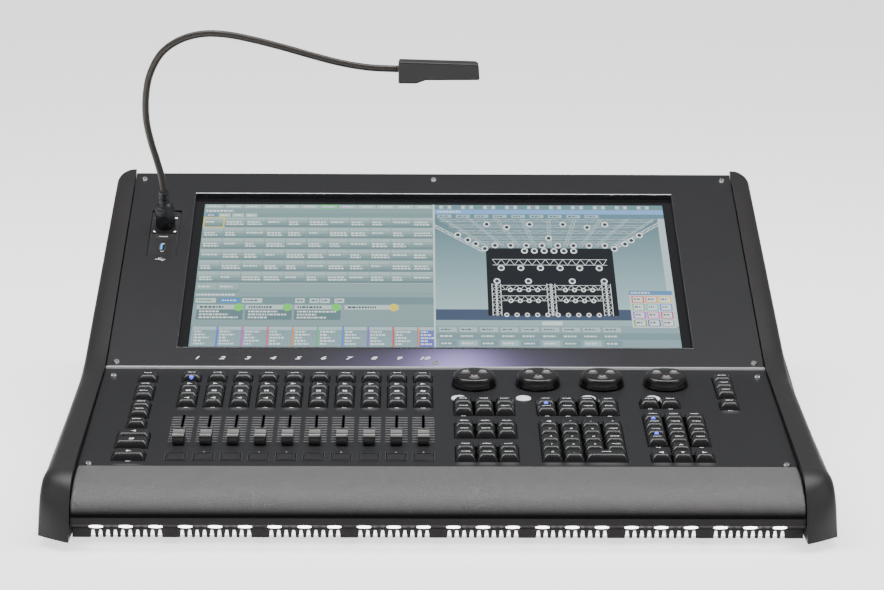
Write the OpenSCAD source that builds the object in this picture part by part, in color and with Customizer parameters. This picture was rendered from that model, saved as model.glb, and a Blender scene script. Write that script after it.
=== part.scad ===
// Lighting control desk: a wedge-shaped console with a tilted touch screen, ten faders,
// four encoder wheels, banks of keys, a padded armrest and a gooseneck lamp.
// Millimetres. X right, Y to the rear, Z up. Origin: on the table, below the middle of the desk.

/* [Panels] */
// Width of both top plates
plate_w = 628; // [600:1:660]
// Sheet thickness of the top plates
plate_t = 2; // [1.5:0.5:3]
// Slope length of the control plate, front edge to bend
lower_len = 253; // [245:1:262]
// Tilt of the control plate above the table, degrees
lower_tilt = 6; // [4:0.5:8]
// Slope length of the screen plate, bend to rear edge
upper_len = 368; // [362:1:376]
// Tilt of the screen plate above the table, degrees
upper_tilt = 20.3; // [18:0.1:22]

/* [Body] */
// Height of the control plate's front edge above the table
edge_z = 56; // [54:1:60]
// Height of the rubber feet
foot_h = 6; // [4:1:8]
// Thickness of the sheet-metal pan and rear panel
sheet_t = 1.5; // [1:0.25:2]
// Width of a side cheek at the rear
cheek_w = 19.2; // [16:0.2:22]
// Extra width of a side cheek at the front
cheek_flare = 6; // [0:0.5:8]
// Height of a cheek's inner edge above the plates
cheek_proud = 3; // [1:0.5:5]

/* [Screen] */
// Width of the opening in the screen plate
opening_w = 500; // [490:1:510]
// Height of the opening in the screen plate
opening_h = 292; // [284:1:296]
// Distance from the bend to the opening
opening_s = 34; // [30:1:40]
// Depth of the glass below the plate
glass_recess = 5; // [3:0.5:6]

/* [Controls] */
// Centre distance of the keys in a block
key_pitch = 19.1; // [19:0.05:19.2]
// Width and depth of a keycap at its foot
key_w = 17.4; // [17:0.1:17.8]
// Height of a keycap above the plate
key_h = 6; // [5:0.5:7]
// Centre distance of the playback columns
playback_pitch = 24.2; // [24:0.1:24.6]
// Travel of a fader
fader_travel = 60; // [60:1:62]
// Radius of an encoder wheel at its foot
wheel_r = 21.2; // [19:0.1:22]
// Height of an encoder wheel above the plate
wheel_h = 11; // [9:0.5:13]
// Centre distance of the encoder wheels
wheel_pitch = 60; // [58:0.5:61]

/* [Lamp] */
// Diameter of the gooseneck
neck_d = 7.2; // [6:0.2:8]
// Radius of the lamp's plug
plug_r = 10; // [9:0.5:10.5]

/* [Hidden] */
$fn = 48;
fader_count = 10;
wheel_count = 4;
gap = 0.4;                       // clearance between pieces that don't touch

// Places that follow from the driving dimensions
half_w = plate_w / 2;
nose = 70.5;                     // the cheeks' tips, ahead of the control plate's front edge
rear_over = 4;                   // the cheeks' rear faces, behind the screen plate
depth = nose + lower_len * cos(lower_tilt) + upper_len * cos(upper_tilt) + rear_over;
front_y = -depth / 2;
rear_y = depth / 2;
edge_y = front_y + nose;
bend_y = edge_y + lower_len * cos(lower_tilt);
bend_z = edge_z + lower_len * sin(lower_tilt);
panel_y = rear_y - 5;            // outer face of the rear panel
cheek_x = half_w + 0.8;          // inner face of a cheek
floor_z = foot_h + sheet_t;

// Front bar and vent strip, measured from the table and from the plate's front edge
band_y = edge_y - 60;
band_z = 21;
comb_y = edge_y - 47;
comb_z = 14.5;
bar_top_z = 28;
strip_rear_y = comb_y + 34;

// Armrest: a quarter ellipse about this centre
rest_y = edge_y - 2;
rest_a = 61;
rest_b = 28.4;
pad_t = 8;
core_t = 3;

// Key rows: distances from the control plate's front edge
playback_x0 = -230.2;
playback_rows = [222, 193, 174, 155];
flash_s = 23.3;
master_x = -271.3;
master_rows = [220.5, 191.5, 172.5, 144.5, 125.5, 99];
go_rows = [70, 51, 21.5];
page_x = 269.8;
page_rows = [217.5, 198.5, 179.5, 150.5];
object_x0 = 24.5;
object_rows = [154, 135, 96.5, 77.5, 39.5, 20.5];
number_x0 = 100.7;
edit_rows = [154, 135];
number_rows = [96.5, 77.5, 58.5, 39.5];
last_row = 20.5;
function_x0 = 196.3;
function_rows = [115, 96, 77, 58];
arrow_row = 39.5;
wheel_x0 = 35.7;
wheel_s = 209.5;
button_x0 = 20.8;
button_s = 171.2;
button_r = 7;
go_w = 29;
enter_w = key_w + key_pitch;
flash_w = 16.8;
fader_s0 = 61;                   // a fader's centre at the lower end of its travel

// Lamp, in the screen plate's own frame
plug_x = -276.6;
plug_s = 262;
plug_top = 41;
neck_points = [[-276.6, 41], [-278, 56], [-282, 76], [-287, 98], [-290.5, 122], [-290, 148],
    [-285, 174], [-273, 198], [-255, 213], [-233, 220.5], [-209, 220.5], [-182, 215],
    [-152, 206.5], [-122, 197], [-94, 189], [-66, 184], [-37, 182.5]];
neck_sides = 12;
neck_steps = 4;                  // rings for each stretch between two points
head_x = -37;
head_h = 182.5;

// ---------- frames ----------
module on_lower() translate([0, edge_y, edge_z]) rotate([lower_tilt, 0, 0]) children();
module on_upper() translate([0, bend_y, bend_z]) rotate([upper_tilt, 0, 0]) children();

// ---------- helpers ----------
function lower_z(y) = edge_z + (y - edge_y) * tan(lower_tilt);
function upper_z(y) = bend_z + (y - bend_y) * tan(upper_tilt);
function playback_x(i) = playback_x0 + playback_pitch * i;
function arc(cy, cz, a, b, from, to, n) =
    [for (k = [0:n]) let (t = from + (to - from) * k / n) [cy + a * cos(t), cz + b * sin(t)]];

// A box from its lowest corner to its highest
module slab(low, high) translate(low) cube(high - low);

// A box standing on z = 0 around the origin, with rounded vertical edges
module rounded(w, d, h, r) linear_extrude(h) offset(r) square([w - 2 * r, d - 2 * r], center = true);

// Extrudes a [y, z] outline along X between two places
module along_x(x0, x1) translate([x0, 0, 0]) rotate([90, 0, 90]) linear_extrude(x1 - x0) children();

// A tapered keycap standing in the plate: the skirt, the sloped sides and the top face
module keycap(w = key_w, d = key_w, h = key_h) {
    skirt = 2;
    inset = 2.9;
    back_inset = 2.2;
    front_inset = 3.4;
    ring = function (z, l, r, f, b)
        [[-w / 2 + l, -d / 2 + f, z], [w / 2 - r, -d / 2 + f, z],
         [w / 2 - r, d / 2 - b, z], [-w / 2 + l, d / 2 - b, z]];
    points = concat(ring(-skirt, 0, 0, 0, 0), ring(0.6, 0, 0, 0, 0),
        ring(h, inset, inset, front_inset, back_inset));
    sides = [for (k = [0:1], i = [0:3])
        [4 * k + i, 4 * (k + 1) + i, 4 * (k + 1) + (i + 1) % 4, 4 * k + (i + 1) % 4]];
    polyhedron(points, concat([[0, 1, 2, 3]], sides, [[11, 10, 9, 8]]));
}

// Keys at [x, s] places on the control plate
module keys(places, w = key_w) on_lower() for (p = places) translate([p[0], p[1], 0]) keycap(w);

// ---------- key places ----------
function column(x, rows) = [for (s = rows) [x, s]];
function playback_row(r) = [for (i = [0:fader_count - 1]) [playback_x(i), playback_rows[r]]];
function block(x0, count, rows) = [for (s = rows, i = [0:count - 1]) [x0 + key_pitch * i, s]];
object_places = block(object_x0, 3, object_rows);
number_places = concat(block(number_x0, 4, edit_rows), block(number_x0, 4, number_rows),
    block(number_x0, 2, [last_row]));
enter_place = [number_x0 + 2.5 * key_pitch, last_row];
function_places = concat(block(function_x0, 2, [playback_rows[3] - 0.5]),
    block(function_x0, 3, function_rows), [[function_x0 + key_pitch, arrow_row]],
    block(function_x0, 3, [last_row]));
small_places = concat(column(master_x, master_rows), playback_row(0), playback_row(1),
    playback_row(2), playback_row(3), object_places, number_places, function_places,
    column(page_x, page_rows));

// ---------- casing ----------
module base_pan() color("#26262a") {
    flange = 12;
    difference() {
        union() {
            slab([-half_w, strip_rear_y + gap, foot_h], [half_w, panel_y, floor_z]);
            for (side = [-1, 1])
                slab([side * half_w - (side > 0 ? sheet_t : 0), strip_rear_y + gap, foot_h],
                     [side * half_w + (side > 0 ? 0 : sheet_t), panel_y - 3, floor_z + flange]);
        }
        for (i = [0:17])
            slab([-180 + 20 * i, 130, foot_h - 1], [-176 + 20 * i, 200, floor_z + 1]);
    }
}

module front_vent_strip() color("#1d1c1f") {
    groups = 8;
    slots = 10;
    slot_top = 2.2;
    slot_low = 4.3;
    slot_pitch = 6.37;
    group_pitch = 3 * led_pitch;
    difference() {
        along_x(-half_w, half_w) polygon([[comb_y, foot_h], [strip_rear_y, foot_h],
            [strip_rear_y, floor_z], [comb_y + sheet_t, floor_z], [comb_y + sheet_t, comb_z],
            [comb_y, comb_z]]);
        for (g = [0:groups - 1], k = [0:slots - 1]) {
            x = (g - (groups - 1) / 2) * group_pitch + (k - (slots - 1) / 2) * slot_pitch;
            translate([x, comb_y + 28, 0]) rotate([90, 0, 0]) linear_extrude(29) polygon([
                [-slot_low / 2, foot_h - 1], [slot_low / 2, foot_h - 1],
                [slot_top / 2, comb_z - 1.8], [-slot_top / 2, comb_z - 1.8]]);
        }
    }
}

led_pitch = 25.47;
led_count = 24;
led_r = 6;
module on_led_face(k) {
    slope = atan2(band_z - comb_z, comb_y - band_y);
    translate([(k - (led_count - 1) / 2) * led_pitch, (band_y + comb_y) / 2, (band_z + comb_z) / 2])
        rotate([180 - slope, 0, 0]) children();
}

// A folded bar that holds the lamps, with a shelf and an upright behind it for the armrest
bar_outline = [[band_y, bar_top_z], [band_y, band_z], [comb_y, comb_z + 0.1],
    [comb_y + 6, comb_z + 0.1], [comb_y + 6, bar_top_z]];
module light_bar() color("#2b282b") {
    difference() {
        along_x(-half_w, half_w) difference() {
            polygon(bar_outline);
            offset(delta = -sheet_t) polygon(bar_outline);
        }
        for (k = [0:led_count - 1]) on_led_face(k) translate([0, 0, -3]) cylinder(r = led_r + 0.2, h = 6);
    }
    along_x(-flange_half, flange_half) {
        polygon([[comb_y + 5, bar_top_z - sheet_t], [edge_y + 3, bar_top_z - sheet_t], [edge_y + 3, bar_top_z], [comb_y + 5, bar_top_z]]);
        polygon([[edge_y + 3 - sheet_t, bar_top_z - 0.5], [edge_y + 3, bar_top_z - 0.5], [edge_y + 3, lower_z(edge_y + 1.5) - 2.1],
            [edge_y + 3 - sheet_t, lower_z(edge_y + 1.5) - 2.1]]);
    }
}

// The lenses, and a clear bar behind the slots that carries their light along the vent
module led_lenses() color("white") {
    for (k = [0:led_count - 1]) on_led_face(k) translate([0, 0, -0.9]) cylinder(r = led_r, h = 1.3);
    slab([-302, comb_y + sheet_t + 0.5, floor_z + 0.1], [302, comb_y + sheet_t + 2.5, comb_z - 0.4]);
}

// A point on a cubic curve through four control points
function curve(a, b, c, d, t) = pow(1 - t, 3) * a + 3 * pow(1 - t, 2) * t * b
    + 3 * (1 - t) * t * t * c + pow(t, 3) * d;

// A cheek's side outline, drawn in by d from the top, the front and the rear
cheek_bottom = foot_h + 2;
front_steps = 12;
function cheek_outline(d, low, back) = let (top = upper_z(rear_y - rear_over) + cheek_proud) concat(
    [[rear_y - d, low], [rear_y - d, top - 1.5 * d],
     [rear_y - rear_over - 1.4 * d, top - 1.2 * d], [bend_y, bend_z + cheek_proud - d]],
    [for (k = [0:front_steps]) curve([edge_y - 12, edge_z + 5.5 - d], [edge_y - 52 + d, edge_z + 6 - d],
        [edge_y - 60 + 0.8 * back, edge_z - 22 - d], [edge_y - 70.5 + back, low], k / front_steps)]);
// Stations across the cheek: [share of the width, drop of the outline]
cheek_stations = [[0, 0], [0.3, 0.5], [0.55, 1.7], [0.75, 3.6], [0.9, 6.2], [0.97, 8.6], [1, 11.5]];
hollow_depth = 13;
// The nose widens a little more and its front slants back towards the outside
nose_flare = 4;
nose_slant = 22;
function cheek_at(y, share) = cheek_x + share * (cheek_w + cheek_flare * (rear_y - y) / depth
    + nose_flare * pow(max(0, min(1, (edge_y + 25 - y) / 80)), 1.3));

module cheek_solid() {
    rings = [for (st = cheek_stations)
        [for (p = cheek_outline(st[1], cheek_bottom, nose_slant * pow(st[0], 1.1)))
            [cheek_at(p[0], st[0]), p[0], p[1]]]];
    n = len(rings[0]);
    last = len(rings) - 1;
    faces = concat([[for (i = [0:n - 1]) i]],
        [for (k = [0:last - 1], i = [0:n - 1]) each
            [[n * (k + 1) + (i + 1) % n, n * k + (i + 1) % n, n * k + i],
             [n * (k + 1) + i, n * (k + 1) + (i + 1) % n, n * k + i]]],
        [[for (i = [n - 1:-1:0]) n * last + i]]);
    polyhedron([for (r = rings) each r], faces);
}

// The moulding is hollow towards the casing, behind its solid nose
module right_cheek() color("#2e2b2c") difference() {
    cheek_solid();
    along_x(cheek_x - 1, cheek_x + hollow_depth) polygon([[edge_y + 10, cheek_bottom + 6],
        [rear_y - 16, cheek_bottom + 6], [rear_y - 16, upper_z(rear_y - 16) - 12],
        [bend_y, bend_z - 12], [edge_y + 10, lower_z(edge_y + 10) - 12]]);
}
module left_cheek() mirror([1, 0, 0]) right_cheek();

// Four plates: mains on one side, ports below and outputs above in the middle, the fan on the other side
rear_top = upper_z(panel_y - sheet_t) - 2.3;
rear_plates = [[-half_w, floor_z, -150, rear_top], [-149.7, floor_z, 150, 100],
    [-149.7, 100.3, 150, rear_top], [150.3, floor_z, half_w, rear_top]];
module rear_panel() color("#26262a") difference() {
    for (r = rear_plates) slab([r[0], panel_y - sheet_t, r[1]], [r[2], panel_y, r[3]]);
    for (x = xlr_x) translate([x, panel_y, xlr_z]) rotate([90, 0, 0])
        cylinder(r = 11.3, h = 10, center = true);
    for (b = port_boxes) slab([b[0] - gap, panel_y - 5, b[1] - gap], [b[0] + b[2] + gap, panel_y + 5, b[1] + b[3] + gap]);
    slab([inlet_x - 14.2, panel_y - 5, inlet_z - 10.6], [inlet_x + 14.2, panel_y + 5, inlet_z + 10.6]);
    slab([switch_x - 8.6, panel_y - 5, inlet_z - 10.6], [switch_x + 8.6, panel_y + 5, inlet_z + 10.6]);
    translate([fan_x, panel_y, fan_z]) rotate([90, 0, 0]) for (ring = [0:4])
        difference() {
            cylinder(r = 11 + 6 * ring, h = 10, center = true);
            cylinder(r = 8 + 6 * ring, h = 11, center = true);
            for (t = [45, 135]) rotate([0, 0, t]) cube([90, 4, 12], center = true);
        }
}

// Folded side walls, with a flange under each top plate that takes the screws
frame_x = half_w - sheet_t - 0.1;
module side_frames() color("#3a3a3e") for (side = [0, 1]) mirror([side, 0, 0]) {
    along_x(frame_x - sheet_t, frame_x) polygon([[edge_y + 6, floor_z], [panel_y - 3, floor_z],
        [panel_y - 3, upper_z(panel_y - 3) - 3.2], [bend_y, bend_z - 3.2], [edge_y + 6, lower_z(edge_y + 6) - 3.2]]);
    on_lower() difference() {
        slab([frame_x - 14, 1.5, -plate_t - sheet_t], [frame_x, lower_len - 4, -plate_t]);
        for (s = [screw_low[0][1], screw_low[1][1]]) translate([305, s, -6]) cylinder(r = 2, h = 8);
    }
    on_upper() difference() {
        slab([frame_x - 14, 4, -plate_t - sheet_t], [frame_x, upper_len - 12, -plate_t]);
        for (s = [screw_high[0][1], screw_high[1][1]]) translate([305, s, -6]) cylinder(r = 2, h = 8);
    }
}

// ---------- top plates ----------
screw_low = [for (x = [-305, 305], s = [5.5, 230.5]) [x, s]];
screw_high = concat([for (x = [-305, 305], s = [9.5, 354.5]) [x, s]], [[0, 8], [0, 355]]);
module screw_holes(places) for (p = places) translate([p[0], p[1], -plate_t - 1]) cylinder(r = 2, h = plate_t + 2);

// An opening around a block of keys, from its first to its last key
module key_opening(x0, x1, s0, s1, w = key_w)
    slab([x0 - w / 2 - 0.6, s0 - key_w / 2 - 0.6, -plate_t - 1],
         [x1 + w / 2 + 0.6, s1 + key_w / 2 + 0.6, 1]);

module control_plate() color("#2b2b2f") on_lower() difference() {
    slab([-half_w, 0.5, -plate_t], [half_w, lower_len - 3.2, 0]);
    screw_holes(screw_low);
    // left column
    for (r = [[0, 0], [2, 1], [4, 3], [5, 5]])
        key_opening(master_x, master_x, master_rows[r[0]], master_rows[r[1]]);
    key_opening(master_x, master_x, go_rows[1], go_rows[0], go_w);
    key_opening(master_x, master_x, go_rows[2], go_rows[2], go_w);
    // playback columns
    for (i = [0:fader_count - 1]) {
        key_opening(playback_x(i), playback_x(i), playback_rows[0], playback_rows[0]);
        key_opening(playback_x(i), playback_x(i), playback_rows[3], playback_rows[1]);
        slab([playback_x(i) - 1.1, fader_s0 - 4, -plate_t - 1], [playback_x(i) + 1.1, fader_s0 + fader_travel + 5, 1]);
        key_opening(playback_x(i), playback_x(i), flash_s, flash_s, flash_w);
    }
    // blocks on the right
    for (r = [1, 3, 5])
        key_opening(object_x0, object_x0 + 2 * key_pitch, object_rows[r], object_rows[r - 1]);
    key_opening(number_x0, number_x0 + 3 * key_pitch, edit_rows[1], edit_rows[0]);
    key_opening(number_x0, number_x0 + 3 * key_pitch, last_row, number_rows[0]);
    key_opening(function_x0, function_x0 + key_pitch, playback_rows[3] - 0.5, playback_rows[3] - 0.5);
    key_opening(function_x0, function_x0 + 2 * key_pitch, function_rows[3], function_rows[0]);
    key_opening(function_x0 + key_pitch, function_x0 + key_pitch, arrow_row, function_rows[3]);
    key_opening(function_x0, function_x0 + 2 * key_pitch, last_row, last_row);
    key_opening(page_x, page_x, page_rows[2], page_rows[0]);
    key_opening(page_x, page_x, page_rows[3], page_rows[3]);
    for (i = [0:wheel_count - 1]) {
        translate([wheel_x0 + wheel_pitch * i, wheel_s, -plate_t - 1]) cylinder(r = 5, h = plate_t + 2);
        translate([button_x0 + wheel_pitch * i, button_s, -plate_t - 1]) cylinder(r = button_r + 0.3, h = plate_t + 2);
    }
}

opening_top = opening_s + opening_h;
socket_s0 = 203;
socket_s1 = 290;
socket_w = 29.4;
module socket_shape(extra) translate([plug_x, (socket_s0 + socket_s1) / 2])
    offset(4 + extra) square([socket_w - 8, socket_s1 - socket_s0 - 8], center = true);

module screen_plate() color("#2b2b2f") on_upper() difference() {
    slab([-half_w, 1, -plate_t], [half_w, upper_len - 1, 0]);
    slab([-opening_w / 2, opening_s, -plate_t - 1], [opening_w / 2, opening_top, 1]);
    screw_holes(screw_high);
    translate([plug_x - socket_w / 2 - gap, socket_s0 - gap, -plate_t - 1])
        cube([socket_w + 2 * gap, socket_s1 - socket_s0 + 2 * gap, plate_t + 2]);
}

// A bright strip in the bend, on a folded flange that joins the two plates
flange_half = frame_x - 15;
module seam_strip() color("silver") {
    on_lower() {
        slab([-half_w, lower_len - 3, -plate_t - sheet_t], [half_w, lower_len, 1.8]);
        slab([-flange_half, lower_len - 14, -plate_t - sheet_t], [flange_half, lower_len, -plate_t]);
    }
    on_upper() difference() {
        slab([-flange_half, -1, -plate_t - sheet_t], [flange_half, 16, -plate_t]);
        translate([screw_high[4][0], screw_high[4][1], -6]) cylinder(r = 2, h = 8);
    }
}

// A lip round the opening, and under the plate the frame that carries the glass
module screen_trim() color("silver") on_upper() {
    wall = 1.2;
    difference() {
        union() {
            slab([-opening_w / 2 + 0.05, opening_s + 0.05, -glass_recess], [opening_w / 2 - 0.05, opening_top - 0.05, 0.5]);
            slab([-opening_w / 2 - 6, opening_s - 6, -glass_recess], [opening_w / 2 + 6, opening_top + 6, -plate_t]);
        }
        slab([-opening_w / 2 + wall, opening_s + wall, -glass_recess - 1], [opening_w / 2 - wall, opening_top - wall, 2]);
    }
}

module touch_glass() color("#101214") on_upper()
    slab([-opening_w / 2 - 6, opening_s - 6, -glass_recess - 3], [opening_w / 2 + 6, opening_top + 6, -glass_recess]);

module lcd_module() color("#8b8e92") on_upper()
    slab([-opening_w / 2 - 2, opening_s - 2, -glass_recess - 16], [opening_w / 2 + 2, opening_top + 2, -glass_recess - 3]);

// ---------- armrest ----------
function rest_arc(a, b, from, to) = [for (k = [0:12]) let (t = from + (to - from) * k / 12)
    [rest_y - a * sin(t), bar_top_z + b * cos(t)]];

module armrest_pad() color("#4a4847") along_x(-half_w, half_w) polygon(concat(
    [[edge_y + 0.1, bar_top_z + rest_b - pad_t], [edge_y + 0.1, bar_top_z + rest_b]],
    rest_arc(rest_a, rest_b, 0, 90), rest_arc(rest_a - pad_t, rest_b - pad_t, 90, 0)));

module armrest_core() color("#6b5a45") along_x(-half_w + 2, half_w - 2) polygon(concat(
    [[edge_y + 1.4, bar_top_z + rest_b - pad_t - core_t], [edge_y + 1.4, bar_top_z + rest_b - pad_t]],
    rest_arc(rest_a - pad_t, rest_b - pad_t, 0, 90),
    rest_arc(rest_a - pad_t - core_t, rest_b - pad_t - core_t, 90, 0)));

// ---------- sockets beside the screen ----------
module socket_plate() color("#151517") on_upper() difference() {
    union() {
        translate([0, 0, -3.2]) linear_extrude(2) socket_shape(0);
        translate([plug_x, plug_s, -22]) cylinder(r = 11, h = 20);
        translate([plug_x, plug_s, -1.4]) rounded(26, 31, 1.2, 2.5);
    }
    translate([plug_x, plug_s, -14]) cylinder(r = 9.4, h = 16);
    translate([plug_x - 3, 215, -10]) cube([6, 14, 12]);
}

module usb_port() on_upper() translate([plug_x - 2.9, 215.1, 0]) {
    color("silver") difference() {
        translate([0, 0, -16]) cube([5.8, 13.8, 14.6]);
        translate([0.4, 0.4, -14]) cube([5, 13, 14]);
    }
    color("deepskyblue") translate([0.6, 1.4, -14]) cube([2, 11, 12]);
}

// ---------- fasteners and feet ----------
module plate_screw() {
    difference() {
        cylinder(r1 = 3.4, r2 = 2.5, h = 1.6);
        translate([0, 0, 0.7]) cylinder(r = 1.3, h = 2, $fn = 6);
    }
    translate([0, 0, -6]) cylinder(r = 1.9, h = 6.2);
}
module plate_screws() color("silver") {
    on_lower() for (p = screw_low) translate([p[0], p[1], 0.02]) plate_screw();
    on_upper() for (p = screw_high) translate([p[0], p[1], 0.02]) plate_screw();
}

foot_x = 280;
foot_ys = [edge_y + 8, rear_y - 40];
module feet() color("#111111") for (x = [-foot_x, foot_x], y = foot_ys) translate([x, y, 0])
    rotate_extrude() polygon([[0, 0], [11, 0], [13, 2], [13, foot_h], [0, foot_h]]);

// ---------- electronics below the control plate ----------
board_h = -9;
switch_h = 4.3;
module key_board() color("#1f5b35") on_lower() {
    difference() {
        slab([-300, 8, board_h - 1.6], [300, 240, board_h]);
        slab([playback_x0 - 10, fader_s0 - 16, board_h - 3], [playback_x(fader_count - 1) + 10, fader_s0 + fader_travel + 20, 0]);
        slab([wheel_x0 - 12, wheel_s - 14, board_h - 3], [wheel_x0 + 3 * wheel_pitch + 12, wheel_s + 14, 0]);
    }
    for (p = concat(small_places, column(master_x, go_rows), [enter_place]))
        translate([p[0], p[1], board_h - 0.1]) slab([-6, -6, 0], [6, 6, switch_h]);
    for (x = [-292, 0, 250], s = [14, 232]) translate([x, s, board_h - 0.1]) cylinder(r = 3, h = 0.1 - board_h - plate_t, $fn = 16);
    for (i = [0:fader_count - 1]) translate([playback_x(i), flash_s, board_h - 0.1]) slab([-6, -6, 0], [6, 6, 3]);
    for (i = [0:wheel_count - 1])
        translate([button_x0 + wheel_pitch * i, button_s, board_h - 0.1]) slab([-5, -5, 0], [5, 5, 3]);
}

stem_len = 5;
module fader_bodies() color("#7d8084") on_lower() for (i = [0:fader_count - 1]) translate([playback_x(i), 0, 0])
    difference() {
        slab([-4.5, fader_s0 - 12, -15], [4.5, fader_s0 + fader_travel + 13, -plate_t]);
        slab([-1.2, fader_s0 - 4, -12.5], [1.2, fader_s0 + fader_travel + 5, 0]);
    }

module encoder_bodies() color("#7d8084") on_lower() for (i = [0:wheel_count - 1])
    translate([wheel_x0 + wheel_pitch * i, wheel_s, 0]) difference() {
        translate([-8, -8, -14]) cube([16, 16, 14 - plate_t]);
        translate([0, 0, -12]) cylinder(r = 3.05, h = 14);
    }

// ---------- electronics on the floor ----------
module main_board() color("#1f5b35") {
    slab([-60, 20, floor_z + 8], [240, 290, floor_z + 9.6]);
    for (x = [-52, 232], y = [28, 282]) translate([x, y, floor_z]) cylinder(r = 3, h = 8);
    for (k = [0:11]) slab([60 + 6 * k, 120, floor_z + 9.6], [63 + 6 * k, 190, floor_z + 36]);
    slab([60, 120, floor_z + 9.5], [129, 190, floor_z + 14]);
    for (k = [0:3]) slab([-40 + 10 * k, 60, floor_z + 9.5], [-36 + 10 * k, 190, floor_z + 40]);
}

module power_supply() color("#9a9da1") difference() {
    slab([-270, 130, floor_z], [-120, 290, floor_z + 48]);
    for (k = [0:9]) slab([-262 + 14 * k, 140, floor_z + 44], [-256 + 14 * k, 280, floor_z + 49]);
    slab([-266, 134, floor_z + 4], [-124, 286, floor_z + 44.5]);
}

// ---------- rear connectors ----------
xlr_x = [-20, 15, 50, 85];
xlr_z = 120;
module xlr_outputs() color("#1b1b1d") for (x = xlr_x) translate([x, panel_y, xlr_z]) rotate([-90, 0, 0])
    difference() {
        union() {
            translate([0, 0, 0.02]) rounded(26, 31, 2.2, 2.5);
            translate([0, 0, -22]) cylinder(r = 11, h = 22.1);
        }
        difference() {
            translate([0, 0, -14]) cylinder(r = 9.6, h = 20);
            translate([0, 0, -15]) cylinder(r = 7.3, h = 16.4);
        }
        for (k = [0:4]) rotate([0, 0, -110 + 55 * k]) translate([0, -4.6, -9])
            cylinder(r = 0.9, h = 12, $fn = 8);
    }

// Port bodies in the panel: [left, bottom, width, height]
rj_w = 16;
rj_h = 13.6;
usb_w = 14.4;
usb_h = 15.6;
dvi_w = 37;
dvi_h = 12.6;
port_z = 70;
rj_x = [-40, -20];
usb_x = [6, 26];
dvi_x = [52, 98];
port_boxes = concat([for (x = rj_x) [x, port_z, rj_w, rj_h]], [for (x = usb_x) [x, port_z, usb_w, usb_h]],
    [for (x = dvi_x) [x, port_z, dvi_w, dvi_h]]);
module data_ports() {
    for (x = rj_x) color("silver") difference() {
        slab([x, panel_y - 20, port_z], [x + rj_w, panel_y + 0.6, port_z + rj_h]);
        slab([x + 2, panel_y - 13, port_z + 2.6], [x + rj_w - 2, panel_y + 2, port_z + rj_h - 2]);
    }
    for (x = usb_x) color("silver") difference() {
        slab([x, panel_y - 18, port_z], [x + usb_w, panel_y + 0.6, port_z + usb_h]);
        for (k = [0, 1]) difference() {
            slab([x + 0.8, panel_y - 12, port_z + 1 + 7.2 * k], [x + usb_w - 0.8, panel_y + 2, port_z + 6.2 + 7.2 * k]);
            slab([x + 1.8, panel_y - 12, port_z + 3.4 + 7.2 * k], [x + usb_w - 1.8, panel_y - 1, port_z + 5.2 + 7.2 * k]);
        }
    }
    for (x = dvi_x) color("silver") {
        slab([x, panel_y - 12, port_z], [x + dvi_w, panel_y + 0.8, port_z + dvi_h]);
        translate([x + dvi_w / 2, panel_y + 0.7, port_z + dvi_h / 2]) rotate([-90, 0, 0]) rounded(25, 8.6, 4.6, 2);
        for (side = [-15.6, 15.6]) translate([x + dvi_w / 2 + side, panel_y + 0.7, port_z + dvi_h / 2])
            rotate([-90, 0, 0]) cylinder(r = 2.6, h = 4, $fn = 6);
    }
}

inlet_x = -212;
inlet_z = 90;
switch_x = -180;
// The inlet and the switch's housing behind one bezel
switch_y = panel_y - 1;
module power_inlet() color("#18181a") {
    difference() {
        union() {
            slab([inlet_x - 14, panel_y - 22, inlet_z - 10.4], [inlet_x + 14, panel_y + 0.1, inlet_z + 10.4]);
            slab([switch_x - 8.4, panel_y - 14, inlet_z - 10.4], [switch_x + 8.4, panel_y + 0.1, inlet_z + 10.4]);
            slab([inlet_x - 16, panel_y + 0.02, inlet_z - 12.4], [switch_x + 10.4, panel_y + 2, inlet_z + 12.4]);
        }
        slab([inlet_x - 12, panel_y - 19, inlet_z - 8.2], [inlet_x + 12, panel_y + 4, inlet_z + 8.2]);
        slab([switch_x - 6.7, panel_y - 10, inlet_z - 9.7], [switch_x + 6.7, panel_y + 4, inlet_z + 9.7]);
        translate([switch_x, switch_y, inlet_z]) rotate([0, 90, 0]) cylinder(r = 1.05, h = 15.6, center = true);
    }
    for (p = [[-7, -1.4], [7, -1.4], [0, 3.4]])
        slab([inlet_x + p[0] - 1, panel_y - 19.5, inlet_z + p[1] - 2], [inlet_x + p[0] + 1, panel_y - 4, inlet_z + p[1] + 2]);
}

// A rocker that turns about X, shown with its lower half pressed
module power_switch() color("#141416") translate([switch_x, switch_y, inlet_z]) rotate([-8, 0, 0]) {
    along_x(-6, 6) polygon([[-5, -8], [0.8, -8.6], [2, 0], [0.8, 8.6], [-5, 8]]);
    rotate([0, 90, 0]) cylinder(r = 1, h = 15, center = true);
}

fan_x = 210;
fan_z = 120;
fan_y = panel_y - sheet_t - 0.2;
module fan_frame() color("#151517") translate([fan_x, fan_y, fan_z]) rotate([90, 0, 0]) {
    difference() {
        rounded(80, 80, 25, 4);
        translate([0, 0, -1]) cylinder(r = 38, h = 27);
        for (x = [-35.75, 35.75], y = [-35.75, 35.75]) translate([x, y, -1]) cylinder(r = 2.2, h = 27);
    }
    translate([0, 0, 22]) cylinder(r = 14, h = 3);
    for (t = [0:120:240]) rotate([0, 0, t]) translate([-2.5, 12, 22]) cube([5, 27, 3]);
    translate([0, 0, 10]) cylinder(r = 2, h = 13);
}

module fan_rotor() color("#222225") translate([fan_x, fan_y, fan_z]) rotate([90, 0, 0]) difference() {
    union() {
        translate([0, 0, 2]) cylinder(r = 15, h = 19);
        for (t = [0:51.43:350]) rotate([0, 0, t]) translate([14, -1, 11]) rotate([38, 0, 0])
            translate([0, 0, -8]) cube([22, 1.6, 16]);
    }
    translate([0, 0, 6]) cylinder(r = 2.05, h = 20);
}

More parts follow.
